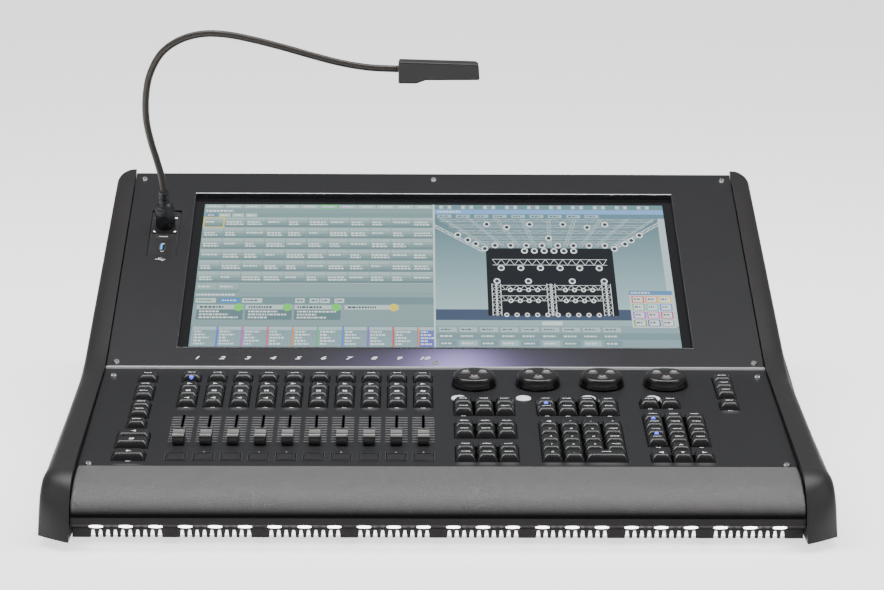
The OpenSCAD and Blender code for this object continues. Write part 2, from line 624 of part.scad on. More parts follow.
// ---------- lamp ----------
module lamp_plug() color("#1a1a1c") on_upper() translate([plug_x, plug_s, 0]) {
    rotate_extrude() polygon([[0, -13], [9.3, -13], [9.3, 0], [plug_r, 0.1], [plug_r, 20], [plug_r - 1.4, 22.5],
        [plug_r - 1.4, 24], [7.4, 25.5], [5.4, 27], [5.4, 30], [4.9, 30.6], [4.9, 31.6], [5.4, 32.2], [5.4, 35],
        [4.7, 35.6], [4.7, 36.6], [5.2, 37.2], [5.2, 39.6], [4.4, plug_top], [0, plug_top]]);
    translate([0, 0, 11.5]) rotate([90, 0, 0]) cylinder(r = 5, h = plug_r + 0.8);
}

// A smooth curve through the neck's points, as [x, h] in the screen plate's frame
function neck_point(i) = neck_points[max(0, min(len(neck_points) - 1, i))];
function neck_at(i, t) = let (a = neck_point(i - 1), b = neck_point(i), c = neck_point(i + 1), d = neck_point(i + 2))
    0.5 * (2 * b + (c - a) * t + (2 * a - 5 * b + 4 * c - d) * t * t + (3 * b - a - 3 * c + d) * t * t * t);
neck_path = concat([for (i = [0:len(neck_points) - 2], k = [0:neck_steps - 1]) neck_at(i, k / neck_steps)],
    [neck_point(len(neck_points) - 1)]);
function neck_dir(k) = let (n = len(neck_path) - 1)
    k == 0 ? [0, 1] : k == n ? [1, 0] :
    let (d = neck_path[k + 1] - neck_path[k - 1]) d / norm(d);

module gooseneck() color("#3a3733") on_upper() {
    n = len(neck_path);
    m = neck_sides;
    points = [for (k = [0:n - 1], j = [0:m - 1]) let (p = neck_path[k], d = neck_dir(k), t = 360 * j / m)
        [p[0] - d[1] * cos(t) * neck_d / 2, plug_s + sin(t) * neck_d / 2, p[1] + d[0] * cos(t) * neck_d / 2]];
    faces = concat([[for (j = [m - 1:-1:0]) j]],
        [for (k = [0:n - 2], j = [0:m - 1])
            [m * k + j, m * k + (j + 1) % m, m * (k + 1) + (j + 1) % m, m * (k + 1) + j]],
        [[for (j = [0:m - 1]) m * (n - 1) + j]]);
    polyhedron(points, faces);
}

head_len = 81;
head_w = 24;
// The head hangs level from the neck's end, whatever the plate's tilt
module on_neck_end() on_upper() translate([head_x + 0.05, plug_s, head_h]) rotate([-upper_tilt, 0, 0]) children();
module lamp_head() color("#242326") on_neck_end() difference() {
    rotate([90, 0, 0]) linear_extrude(head_w, center = true) polygon([[0, -13.2], [18, -13.2], [27.5, -9.8],
        [head_len, -9.4], [head_len - 1, 5], [head_len - 4, 6.8], [2, 8.8], [0, 7.6]]);
    slab([31, -head_w / 2 + 3, -11], [head_len - 5, head_w / 2 - 3, -6.5]);
}

module lamp_lens() color("white") on_neck_end()
    slab([31.2, -head_w / 2 + 3.2, -9.2], [head_len - 5.2, head_w / 2 - 3.2, -6.5]);

// ---------- moving controls ----------
module fader(i) on_lower() translate([playback_x(i), fader_s0, 0]) {
    color("#151516") hull() {
        translate([-5.2, -11, 1]) cube([10.4, 22, 2]);
        translate([-4.8, -9.6, 9]) cube([9.6, 19.2, 0.6]);
    }
    color("#9c9a98") translate([-0.6, -2.5, -11]) cube([1.2, stem_len, 12.5]);
}

module wheel(i) color("#1b1a1c") on_lower() translate([wheel_x0 + wheel_pitch * i, wheel_s, 0]) difference() {
    union() {
        rotate_extrude() polygon([[0, 1], [wheel_r - 0.6, 1], [wheel_r, 1.6], [wheel_r - 1, wheel_h - 3],
            [wheel_r - 2.4, wheel_h - 0.6], [wheel_r - 4, wheel_h], [0, wheel_h]]);
        translate([0, 0, -11]) cylinder(r = 2.98, h = 13);
    }
    for (t = [30, 150, 270]) rotate([0, 0, t]) translate([9.4, 0, wheel_h + 6]) sphere(r = 8);
}

module flash_keys() color("#242427") on_lower() for (i = [0:fader_count - 1])
    translate([playback_x(i), flash_s, 0]) slab([-flash_w / 2, -key_w / 2, -3], [flash_w / 2, key_w / 2, 1]);

module encoder_buttons() color("white") on_lower() for (i = [0:wheel_count - 1])
    translate([button_x0 + wheel_pitch * i, button_s, -3]) {
        cylinder(r = button_r, h = 4);
        translate([0, 0, 3.99]) cylinder(r1 = button_r, r2 = button_r - 2, h = 0.8);
    }

base_pan();
front_vent_strip();
light_bar();
led_lenses();
left_cheek();
right_cheek();
rear_panel();
side_frames();
screen_plate();
control_plate();
seam_strip();
screen_trim();
touch_glass();
lcd_module();
armrest_core();
armrest_pad();
socket_plate();
usb_port();
plate_screws();
feet();
key_board();
fader_bodies();
encoder_bodies();
main_board();
power_supply();
xlr_outputs();
data_ports();
power_inlet();
fan_frame();
lamp_plug();
gooseneck();
lamp_head();
lamp_lens();
power_switch();
fan_rotor();
for (i = [1:fader_count])
    fader(i - 1);
for (i = [1:wheel_count])
    wheel(i - 1);
color("#3a3a3d") {  // master_keys
    keys(column(master_x, master_rows));
    keys(column(master_x, go_rows), go_w);
}
color("#3a3a3d") keys(playback_row(0));  // choose_keys
color("#3a3a3d") keys(playback_row(1));  // play_keys
color("#3a3a3d") keys(playback_row(2));  // pause_keys
color("#3a3a3d") keys(playback_row(3));  // back_keys
flash_keys();
color("#3a3a3d") keys(object_places);  // object_keys
color("#3a3a3d") {  // number_keys
    keys(number_places);
    keys([enter_place], enter_w);
}
color("#3a3a3d") keys(function_places);  // function_keys
color("#3a3a3d") keys(column(page_x, page_rows));  // page_keys
encoder_buttons();
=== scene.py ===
"""Looks of the lighting control desk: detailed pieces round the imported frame, materials, light and camera."""
import math

import bpy
from mathutils import Matrix, Vector


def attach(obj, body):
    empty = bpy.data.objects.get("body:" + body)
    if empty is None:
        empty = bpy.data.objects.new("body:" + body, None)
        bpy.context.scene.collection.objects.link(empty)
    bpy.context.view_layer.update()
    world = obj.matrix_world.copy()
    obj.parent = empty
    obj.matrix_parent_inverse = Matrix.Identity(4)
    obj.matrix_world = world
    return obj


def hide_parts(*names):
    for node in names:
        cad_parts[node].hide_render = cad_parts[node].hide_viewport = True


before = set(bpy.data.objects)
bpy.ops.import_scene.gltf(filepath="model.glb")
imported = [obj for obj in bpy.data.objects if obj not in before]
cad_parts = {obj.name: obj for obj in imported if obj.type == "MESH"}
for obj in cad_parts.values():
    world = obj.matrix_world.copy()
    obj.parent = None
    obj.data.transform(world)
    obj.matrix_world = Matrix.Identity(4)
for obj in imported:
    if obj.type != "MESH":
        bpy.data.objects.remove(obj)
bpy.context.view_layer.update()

# ---------------------------------------------------------------- camera, in metres and degrees
CAMERA_PLACE = (-0.02608, -2.69054, 0.74254)
YAW, PITCH_DOWN, ROLL = 0.67862, 12.39710, 0.31281
LENS, SENSOR = 117.6, 36


def add_camera():
    """The photograph's viewpoint: turned right by the yaw, pitched down, then rolled about its view."""
    yaw, pitch, roll = (math.radians(a) for a in (YAW, PITCH_DOWN, ROLL))
    look = Vector((math.sin(yaw) * math.cos(pitch), math.cos(yaw) * math.cos(pitch), -math.sin(pitch)))
    side = Vector((math.cos(yaw), -math.sin(yaw), 0))
    over = side.cross(look)
    right = math.cos(roll) * side + math.sin(roll) * over
    top = -math.sin(roll) * side + math.cos(roll) * over
    camera = bpy.data.objects.new("Camera", bpy.data.cameras.new("Camera"))
    camera.data.sensor_width = SENSOR
    camera.data.lens = LENS
    turn = Matrix((right, top, -look)).transposed().to_4x4()
    camera.matrix_world = Matrix.Translation(CAMERA_PLACE) @ turn
    bpy.context.scene.collection.objects.link(camera)
    bpy.context.scene.camera = camera


add_camera()

# ---------------------------------------------------------------- sizes, in millimetres
# x runs to the right; on a plate, s runs up the slope from its lower edge and z stands off it
LOWER_TILT, UPPER_TILT = math.radians(6), math.radians(20.3)
LOWER_LEN, UPPER_LEN = 253, 368
HALF_W = 314
EDGE_Z = 56
NOSE, REAR_OVER = 70.5, 4
DEPTH = NOSE + LOWER_LEN * math.cos(LOWER_TILT) + UPPER_LEN * math.cos(UPPER_TILT) + REAR_OVER
EDGE_Y, REAR_Y = NOSE - DEPTH / 2, DEPTH / 2
BEND_Y = EDGE_Y + LOWER_LEN * math.cos(LOWER_TILT)
BEND_Z = EDGE_Z + LOWER_LEN * math.sin(LOWER_TILT)
KEY_W, KEY_H, PITCH = 17.4, 6, 19.1
MM = Matrix.Scale(0.001, 4)
LOWER = Matrix.Translation((0, EDGE_Y / 1000, EDGE_Z / 1000)) @ Matrix.Rotation(LOWER_TILT, 4, "X") @ MM
UPPER = Matrix.Translation((0, BEND_Y / 1000, BEND_Z / 1000)) @ Matrix.Rotation(UPPER_TILT, 4, "X") @ MM

playback_x = [-230.2 + 24.2 * i for i in range(10)]
playback_s = [222, 193, 174, 155]
FLASH_S = 23.3
MASTER_X, PAGE_X = -271.3, 269.8
master_s = [220.5, 191.5, 172.5, 144.5, 125.5, 99]
go_s = [70, 51, 21.5]
page_s = [217.5, 198.5, 179.5, 150.5]
object_s = [154, 135, 96.5, 77.5, 39.5, 20.5]
edit_s, number_s, last_s = [154, 135], [96.5, 77.5, 58.5, 39.5], 20.5
function_s = [115, 96, 77, 58]
OBJECT_X, NUMBER_X, FUNCTION_X = 24.5, 100.7, 196.3
wheel_x = [35.7 + 60 * i for i in range(4)]
button_x = [20.8 + 60 * i for i in range(4)]
WHEEL_S, BUTTON_S = 209.5, 171.2
FADER_S = 61                        # middle of a fader cap at rest
PLUG_X, PLUG_S = -276.6, 262
PRINT_Z = 0.04                      # print stands this far off its plate
FILM_Z = 0.02                       # so do the thin films of light
SOCKET_Z = -1.15                    # print on the sunk socket plate
GLASS_Z = -4.93                     # top of the touch glass


# ---------------------------------------------------------------- materials
def add_grain(tree, shader, place, kind, grain, depth):
    """Bumps the surface with fine noise, or with the creased cells of leather."""
    bump = tree.nodes.new("ShaderNodeBump")
    bump.inputs["Strength"].default_value = 1
    bump.inputs["Distance"].default_value = depth
    if kind == "leather":
        source = tree.nodes.new("ShaderNodeTexVoronoi")
        source.feature = "DISTANCE_TO_EDGE"
        source.inputs["Randomness"].default_value = 1
        ramp = tree.nodes.new("ShaderNodeMapRange")
        ramp.interpolation_type = "SMOOTHSTEP"
        ramp.inputs["From Max"].default_value = 0.22
        tree.links.new(source.outputs["Distance"], ramp.inputs["Value"])
        height = ramp.outputs["Result"]
    else:
        source = tree.nodes.new("ShaderNodeTexNoise")
        source.inputs["Detail"].default_value = 4
        height = source.outputs["Fac"]
    source.inputs["Scale"].default_value = grain
    tree.links.new(place, source.inputs["Vector"])
    tree.links.new(height, bump.inputs["Height"])
    tree.links.new(bump.outputs["Normal"], shader.inputs["Normal"])


def paint_shade_below(tree, shader, color, specular, under):
    """Painted shade: fades the colour and the gloss where the surface turns away from above, down to the share
    under.
    """
    facing = tree.nodes.new("ShaderNodeSeparateXYZ")
    tree.links.new(tree.nodes.new("ShaderNodeNewGeometry").outputs["Normal"], facing.inputs[0])
    ramp = tree.nodes.new("ShaderNodeMapRange")
    ramp.interpolation_type = "SMOOTHSTEP"
    ramp.inputs["From Min"].default_value = 0.15
    ramp.inputs["From Max"].default_value = 0.85
    ramp.inputs["To Min"].default_value = under
    tree.links.new(facing.outputs["Z"], ramp.inputs["Value"])
    tint = tree.nodes.new("ShaderNodeVectorMath")
    tint.operation = "SCALE"
    tint.inputs[0].default_value = color
    tree.links.new(ramp.outputs["Result"], tint.inputs["Scale"])
    tree.links.new(tint.outputs[0], shader.inputs["Base Color"])
    gloss = tree.nodes.new("ShaderNodeMath")
    gloss.operation = "MULTIPLY"
    gloss.inputs[1].default_value = specular
    tree.links.new(ramp.outputs["Result"], gloss.inputs[0])
    tree.links.new(gloss.outputs[0], shader.inputs["Specular IOR Level"])


def material(name, color, rough=0.5, metal=0.0, grain=0.0, depth=0.0, wear=0.06, kind="noise",
             specular=0.5, glow=0.0, glow_color=None, attribute=None, under=None):
    """A principled material whose roughness wanders by wear and whose surface has a fine grain.

    A glow takes its colour from glow_color, or from the mesh's colour attribute where one is named.
    """
    mat = bpy.data.materials.new(name)
    mat.use_nodes = True
    tree = mat.node_tree
    shader = tree.nodes["Principled BSDF"]
    shader.inputs["Base Color"].default_value = (*color, 1)
    shader.inputs["Metallic"].default_value = metal
    shader.inputs["Specular IOR Level"].default_value = specular
    place = tree.nodes.new("ShaderNodeTexCoord").outputs["Object"]
    blotch = tree.nodes.new("ShaderNodeTexNoise")
    blotch.inputs["Scale"].default_value = 35
    blotch.inputs["Detail"].default_value = 3
    tree.links.new(place, blotch.inputs["Vector"])
    span = tree.nodes.new("ShaderNodeMapRange")
    span.inputs["To Min"].default_value = max(0, rough - wear)
    span.inputs["To Max"].default_value = min(1, rough + wear)
    tree.links.new(blotch.outputs["Fac"], span.inputs["Value"])
    tree.links.new(span.outputs["Result"], shader.inputs["Roughness"])
    if grain:
        add_grain(tree, shader, place, kind, grain, depth)
    if glow:
        shader.inputs["Emission Strength"].default_value = glow
        shader.inputs["Emission Color"].default_value = (*(glow_color or color), 1)
    # painted shade: under darkens the colour and the gloss where the surface faces down
    if under is not None:
        paint_shade_below(tree, shader, color, specular, under)
    if attribute:
        seen = tree.nodes.new("ShaderNodeAttribute")
        seen.attribute_name = attribute
        tree.links.new(seen.outputs["Color"], shader.inputs["Emission Color"])
    return mat


PANEL = material("panel_paint", (0.010, 0.010, 0.012), 0.5, 0.0, 1500, 0.00006, specular=0.3)
SHEET = material("sheet_paint", (0.014, 0.014, 0.015), 0.5, 0.2, 900, 0.00005)
BAR = material("bar_paint", (0.010, 0.008, 0.009), 0.5, 0, 900, 0.00004, specular=0.2)
# the brushed strip also glows a little white: a painted highlight
STRIP = material("brushed_strip_painted_glow", (0.80, 0.80, 0.82), 0.34, 0.8, wear=0.01, glow=0.22,
                 glow_color=(1, 1, 1))
CHEEK = material("cheek_moulding", (0.016, 0.014, 0.014), 0.42, 0.0, 1100, 0.00007, specular=0.35)
# the leather's colour and gloss are painted darker where it faces down: painted shade
LEATHER = material("leather", (0.13, 0.125, 0.125), 0.46, 0.0, 560, 0.00034, kind="leather", specular=0.6,
                   under=0.03)
CORE = material("core_ply", (0.45, 0.33, 0.2), 0.7, 0, 120, 0.0002)
SCREW = material("screw_chrome", (0.8, 0.8, 0.8), 0.16, 1.0, 400, 0.00001)
RUBBER = material("rubber", (0.02, 0.02, 0.02), 0.75, 0, 500, 0.0001)
KEY = material("key_plastic", (0.007, 0.007, 0.008), 0.27, 0.0, 900, 0.00003, specular=0.55)
FLASH = material("flash_plastic", (0.013, 0.013, 0.014), 0.32, 0.0, 900, 0.00003)
RIM = material("rim_plastic", (0.05, 0.05, 0.052), 0.35, 0, 700, 0.00002)
WHEEL = material("wheel_plastic", (0.005, 0.004, 0.004), 0.22, 0.0, 900, 0.00003, specular=0.6)
DIMPLE = material("wheel_dimple", (0.13, 0.12, 0.12), 0.36, 0.3, 900, 0.00002)
CAP = material("cap_silver", (0.34, 0.33, 0.32), 0.30, 0.7, 500, 0.00003)
CAP_DARK = material("cap_black", (0.012, 0.012, 0.013), 0.35, 0.0, 700, 0.00002)
# the glowing strip behind the vent slots: painted light standing in for the bright floor seen through the gaps
SLOT_GLOW = material("slot_painted_glow", (0.9, 0.9, 0.92), 0.4, 0, 300, 0.00002, glow=2.2, glow_color=(1, 0.98, 1))
# a glowing white for the top faces of the screen trim's upper lip: a painted highlight
LIP_HIGHLIGHT = material("trim_lip_painted_highlight", (0.85, 0.85, 0.86), 0.3, 0.6, wear=0.01, glow=0.5, glow_color=(1, 1, 1))
TRIM = material("trim_anodised", (0.22, 0.22, 0.23), 0.22, 1.0, 700, 0.00002)
# the white buttons glow a little: painted light that brightens them
BUTTON = material("button_white_painted_glow", (0.82, 0.82, 0.84), 0.3, 0, 500, 0.00001, glow=0.35)
LED = material("led_white", (0.9, 0.9, 0.95), 0.3, 0, 300, 0.00002, glow=6, glow_color=(0.97, 0.96, 1.0))
GLASS = material("touch_glass", (0.006, 0.006, 0.007), 0.08, 0.0, 60, 0.000002, wear=0.02)
MODULE = material("module_case", (0.3, 0.31, 0.32), 0.6, 0.2, 300, 0.00005)
SOCKET = material("socket_plastic", (0.016, 0.016, 0.017), 0.34, 0, 700, 0.00003)
BOARD = material("board_dark", (0.006, 0.007, 0.007), 0.4, 0, 260, 0.0001)
CAN = material("plain_metal", (0.6, 0.61, 0.62), 0.32, 1.0, 500, 0.00003)
# the blue USB insert glows: painted light that brightens it
USB_BLUE = material("usb_blue_painted_glow", (0.02, 0.25, 0.8), 0.4, 0, 500, 0.00001, glow=0.6,
                    glow_color=(0.1, 0.55, 1.0))
FAN = material("fan_plastic", (0.02, 0.02, 0.021), 0.6, 0, 700, 0.00004)
NECK = material("neck_metal", (0.050, 0.044, 0.040), 0.36, 0.7, 900, 0.00002)
LAMP = material("lamp_plastic", (0.008, 0.008, 0.009), 0.40, 0, 1200, 0.00006)
LENS = material("lamp_lens", (0.85, 0.85, 0.82), 0.4, 0, 300, 0.00003)
# the white print glows faintly: painted light that brightens it
PRINT = material("white_print_painted_glow", (0.78, 0.78, 0.80), 0.5, 0, 600, 0.00001, glow=0.12)
TICKS = material("grey_print", (0.50, 0.50, 0.52), 0.5, 0, 600, 0.00001)
BLUE = material("blue_light", (0.1, 0.15, 0.9), 0.4, 0, 600, 0.00001, glow=1.5, glow_color=(0.07, 0.10, 1.0))
SCREEN = material("screen_picture", (0.004, 0.004, 0.004), 0.12, 0, 60, 0.000002, wear=0.02, glow=1.3,
                  attribute="picture")
# the plate paint with a glow coloured by the mesh's picture attribute: painted light, for the lavender patch
# and the sheen in front of the keys
PAINTED_PLATE_LIGHT = material("panel_paint_painted_light", (0.010, 0.010, 0.012), 0.5, 0.0, 1500, 0.00006, specular=0.3, glow=1.0,
                 attribute="picture")
FLOOR = material("floor_white", (0.86, 0.86, 0.86), 0.8, 0, 20, 0.0001, specular=0.1, glow=1.5,
                 glow_color=(1, 1, 1))


# ---------------------------------------------------------------- building pieces
def spin(angle):
    """The point at an angle on a circle of radius one."""
    return math.cos(angle), math.sin(angle)


def circle(radius, count):
    """Points on a circle, anticlockwise."""
    return [(radius * spin(2 * math.pi * j / count)[0], radius * spin(2 * math.pi * j / count)[1])
            for j in range(count)]


def rounded(x0, x1, y0, y1, r, z, steps=4):
    """Points of a rounded rectangle at height z, anticlockwise from above."""
    ring = []
    corners = ((x1 - r, y1 - r, 0), (x0 + r, y1 - r, 90), (x0 + r, y0 + r, 180), (x1 - r, y0 + r, 270))
    for cx, cy, start in corners:
        for k in range(steps + 1):
            c, s = spin(math.radians(start + 90 * k / steps))
            ring.append((cx + r * c, cy + r * s, z))
    return ring


class Shape:
    """Gathers points and faces in millimetres, each face with its material's number."""

    def __init__(self):
        self.points, self.faces, self.marks, self.colors = [], [], [], []

    def add(self, points, faces, mark=0, at=(0, 0, 0), color=None):
        """Adds faces, moved by at, with one material number and one picture colour."""
        n = len(self.points)
        self.points += [tuple(a + b for a, b in zip(p, at)) for p in points]
        self.faces += [tuple(i + n for i in f) for f in faces]
        self.marks += [mark] * len(faces)
        self.colors += [color] * len(faces)

    def loft(self, rings, mark=0, at=(0, 0, 0), start=True, end=True, closed=True):
        """Joins rings of equally many points; closed rings go round, open ones make a sheet."""
        m = len(rings[0])
        points = [p for r in rings for p in r]
        faces = []
        for k in range(len(rings) - 1):
            for j in range(m if closed else m - 1):
                a, b = k * m + j, k * m + (j + 1) % m
                faces.append((a, b, b + m, a + m))
        if start:
            faces.append(tuple(range(m - 1, -1, -1)))
        if end:
            faces.append(tuple((len(rings) - 1) * m + j for j in range(m)))
        self.add(points, faces, mark, at)

    def box(self, low, high, mark=0):
        """A block between two corners."""
        (a, b, c), (d, e, f) = low, high
        self.add([(a, b, c), (d, b, c), (d, e, c), (a, e, c), (a, b, f), (d, b, f), (d, e, f), (a, e, f)],
                 [(0, 3, 2, 1), (4, 5, 6, 7), (0, 1, 5, 4), (1, 2, 6, 5), (2, 3, 7, 6), (3, 0, 4, 7)], mark)

    def turned(self, profile, mark=0, at=(0, 0, 0), n=48):
        """A profile of (radius, height) pairs turned about the vertical."""
        self.loft([[(x, y, z) for x, y in circle(r, n)] for r, z in profile], mark, at)

    def flat(self, x0, y0, x1, y1, z, mark=0, color=None):
        """A rectangle that faces up."""
        self.add([(x0, y0, z), (x1, y0, z), (x1, y1, z), (x0, y1, z)], [(0, 1, 2, 3)], mark, color=color)

    def make(self, name, body, materials, place=MM, slot=None, stands_for=(), angle=35):
        """Turns the shape into a piece that rides on a body and may stand for CAD nodes."""
        mesh = bpy.data.meshes.new(name)
        mesh.from_pydata(self.points, [], self.faces)
        mesh.transform(place)
        mesh.validate()
        for m in materials:
            mesh.materials.append(m)
        mesh.polygons.foreach_set("material_index", self.marks)
        if any(self.colors):
            picture = mesh.color_attributes.new("picture", "FLOAT_COLOR", "CORNER")
            for polygon, color in zip(mesh.polygons, self.colors):
                for i in polygon.loop_indices:
                    picture.data[i].color = (*(color or (0, 0, 0)), 1)
        mesh.shade_smooth()
        mesh.set_sharp_from_angle(angle=math.radians(angle))
        obj = bpy.data.objects.new(name, mesh)
        bpy.context.scene.collection.objects.link(obj)
        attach(obj, body)
        if stands_for:
            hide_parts(*stands_for)
        return obj


def dress(node, *materials, bevel=0.0, segments=2):
    """Gives a CAD node its material and, where asked, softened edges."""
    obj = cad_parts[node]
    obj.data.materials.clear()
    for m in materials:
        obj.data.materials.append(m)
    if bevel:
        weld = obj.modifiers.new("weld", "WELD")
        weld.merge_threshold = 0.00001
        soft = obj.modifiers.new("bevel", "BEVEL")
        soft.width = bevel / 1000
        soft.segments = segments
        soft.limit_method = "ANGLE"
        soft.angle_limit = math.radians(35)
        soft.harden_normals = True
    return obj


def stroke(shape, digits, size, x, y, z, mark=0, lean=0.0, wide=1.0, bold=0.0):
    """Adds a number or sign in Blender's own font, as flat faces."""
    curve = bpy.data.curves.new("stroke", "FONT")
    curve.body = digits
    curve.size = size
    curve.shear = lean
    curve.align_x = "CENTER"
    curve.align_y = "CENTER"
    curve.resolution_u = 3
    curve.offset = bold
    obj = bpy.data.objects.new("stroke", curve)
    bpy.context.scene.collection.objects.link(obj)
    mesh = bpy.data.meshes.new_from_object(obj.evaluated_get(bpy.context.evaluated_depsgraph_get()))
    shape.add([(v.co.x * wide + x, v.co.y + y, z) for v in mesh.vertices],
              [tuple(p.vertices) for p in mesh.polygons], mark)
    bpy.data.objects.remove(obj)


def scribble(shape, x, y, z, width, height, seed, mark=0):
    """A row of small dashes in place of a printed word."""
    at, k = x - width / 2, seed
    while at < x + width / 2 - 0.3:
        k = (k * 37 + 11) % 101
        step = 0.55 + 0.45 * (k % 5) / 4
        step = min(step, x + width / 2 - at)
        shape.flat(at, y - height / 2 * (0.75 + 0.25 * (k % 2)), at + step, y + height / 2, z, mark)
        at += step + 0.28


# ---------------------------------------------------------------- keys
TOP_FRONT, TOP_BACK, TOP_SIDE = 4.2, 2.4, 3.0
SKIRT = 1.15                        # height of a keycap's upright skirt
WIDE_KEY = 29


def keycap(shape, x, s, w=KEY_W, d=KEY_W):
    """A keycap with hollowed slopes from its skirt to a smaller dished top, set back from the front."""
    def ring(side, front, back, z, r):
        return rounded(-w / 2 + side, w / 2 - side, -d / 2 + front, d / 2 - back, r, z)
    rings = [ring(0, 0, 0, -2, 0.7), ring(0, 0, 0, 0.7, 0.7), ring(0.25, 0.25, 0.2, SKIRT, 0.9)]
    for t in (0.25, 0.5, 0.75, 0.92):
        ease = t - 0.12 * math.sin(math.pi * t)
        rings.append(ring(TOP_SIDE * ease, TOP_FRONT * ease, TOP_BACK * ease, SKIRT + (KEY_H - SKIRT) * t,
                          1 + 1.4 * t))
    rings += [ring(TOP_SIDE, TOP_FRONT, TOP_BACK, KEY_H - 0.12, 2.3),
              ring(TOP_SIDE + 0.5, TOP_FRONT + 0.5, TOP_BACK + 0.5, KEY_H, 2.1),
              ring(TOP_SIDE + 1.3, TOP_FRONT + 1.3, TOP_BACK + 1.3, KEY_H - 0.14, 1.8),
              ring(TOP_SIDE + 2.8, TOP_FRONT + 2.8, TOP_BACK + 2.8, KEY_H - 0.34, 1.2)]
    shape.loft(rings, 0, (x, s, 0))


LEGEND_Z = KEY_H + 0.03
MID = (TOP_FRONT - TOP_BACK) / 2


def legend(shape, kind, x, s, seed=0):
    """White print on a key's top face: an arrow, pair of bars, number or dashes; blue adds a lamp."""
    y, z = s + MID - 0.6, LEGEND_Z
    if kind == "play":
        shape.add([(x - 2.2, y - 2.0, z), (x + 2.6, y, z), (x - 2.2, y + 2.0, z)], [(0, 1, 2)], 1)
    elif kind == "back":
        shape.add([(x + 2.2, y - 2.0, z), (x + 2.2, y + 2.0, z), (x - 2.6, y, z)], [(0, 1, 2)], 1)
    elif kind == "pause":
        for dx in (-1.9, 0.4):
            shape.flat(x + dx - 0.2, y - 1.9, x + dx + 1.7, y + 1.9, z, 1)
    elif kind == "up":
        shape.add([(x - 2, y - 1.4, z), (x + 2, y - 1.4, z), (x, y + 1.6, z)], [(0, 1, 2)], 1)
    elif kind == "down":
        shape.add([(x - 2, y + 1.4, z), (x, y - 1.6, z), (x + 2, y + 1.4, z)], [(0, 1, 2)], 1)
    elif kind == "word":
        scribble(shape, x, y + 1.4, z, 7.6, 1.6, seed, 1)
    elif kind == "blue":
        shape.turned([(2.1, 2.0), (2.1, 4.4), (1.5, 5.2), (0.8, 5.4)], 2, (x, s - 6.0, 0), 16)
        scribble(shape, x, y + 1.6, z, 7.4, 1.4, seed, 1)
    elif kind:
        stroke(shape, kind, 4.6, x, y + 0.3, z, 1, 0.15, 1.15)


def bank(name, places, widths=None):
    """A bank of keys: places are (x, s, legend) triples, and widths gives the odd ones by number."""
    shape = Shape()
    for k, (x, s, kind) in enumerate(places):
        w = (widths or {}).get(k, KEY_W)
        keycap(shape, x, s, w)
        legend(shape, kind, x, s, 7 * k + len(name))
    return shape.make(name + "_caps", name, [KEY, PRINT, BLUE], LOWER, "key", [name], 50)


master_places = [(MASTER_X, s, "word") for s in master_s]
master_places += [(MASTER_X, s, kind) for s, kind in zip(go_s, ("back", "pause", "play"))]
bank("master_keys", master_places, {k: WIDE_KEY for k in (6, 7, 8)})
bank("choose_keys", [(x, playback_s[0], "blue" if i == 0 else "word") for i, x in enumerate(playback_x)])
bank("play_keys", [(x, playback_s[1], "play") for x in playback_x])
bank("pause_keys", [(x, playback_s[2], "pause") for x in playback_x])
bank("back_keys", [(x, playback_s[3], "back") for x in playback_x])
bank("object_keys", [(OBJECT_X + PITCH * i, s, "word") for s in object_s for i in range(3)])
number_marks = [["blue", "word", "word", "word"], ["word"] * 4, ["back", "/", "-", "+"],
                ["7", "8", "9", "word"], ["4", "5", "6", "word"], ["1", "2", "3", "word"]]
number_places = [(NUMBER_X + PITCH * i, s, number_marks[r][i])
                 for r, s in enumerate(edit_s + number_s) for i in range(4)]
number_places += [(NUMBER_X, last_s, "0"), (NUMBER_X + PITCH, last_s, "."),
                  (NUMBER_X + 2.5 * PITCH, last_s, "word")]
bank("number_keys", number_places, {len(number_places) - 1: KEY_W + PITCH})
function_places = [(FUNCTION_X + PITCH * i, playback_s[3] - 0.5, "word") for i in range(2)]
function_places += [(FUNCTION_X + PITCH * i, s, "blue" if i == 0 and s in (115, 77) else "word")
                    for s in function_s for i in range(3)]
function_places += [(FUNCTION_X + PITCH, 39.5, "up")]
function_places += [(FUNCTION_X + PITCH * i, last_s, kind) for i, kind in enumerate(("back", "down", "play"))]
bank("function_keys", function_places)
bank("page_keys", [(PAGE_X, s, "word") for s in page_s])

flash = Shape()
for x in playback_x:
    flash.loft([rounded(-8.4, 8.4, -8.7, 8.7, 0.8, -3), rounded(-8.4, 8.4, -8.7, 8.7, 0.8, 0.6),
                rounded(-8, 8, -8.3, 8.3, 0.8, 1), rounded(-7, 7, -7.3, 7.3, 0.6, 1),
                rounded(-6.7, 6.7, -7.0, 7.0, 0.5, 0.45)], 0, (x, FLASH_S, 0))
flash.make("flash_caps", "flash_keys", [FLASH], LOWER, "flash", ["flash_keys"])
rims = Shape()
for k, x in enumerate(playback_x):
    outer = [rounded(-9.6, 9.6, -9.9, 9.9, 1, z) for z in (0.02, 0.5)]
    inner = [rounded(-9.0, 9.0, -9.3, 9.3, 0.8, z) for z in (0.5, 0.02)]
    rims.loft(outer + inner, 0, (x, FLASH_S, 0), False, False)
    if k in (1, 3, 4, 6, 8, 9):
        rims.turned([(0.7, 0.5), (0.6, 0.8), (0.3, 0.9)], 1, (x, FLASH_S + 9.3, 0), 12)
rims.make("flash_rims", "desk", [RIM, PRINT], LOWER, "flash")

buttons = Shape()
button_profile = [(7, -3), (7, 0.3), (6.9, 0.5), (6.4, 0.8), (5, 1.1), (3, 1.3), (1, 1.35)]
for x in button_x:
    buttons.turned(button_profile, 0, (x, BUTTON_S, 0), 40)
buttons.make("encoder_button_caps", "encoder_buttons", [BUTTON], LOWER, "button", ["encoder_buttons"])

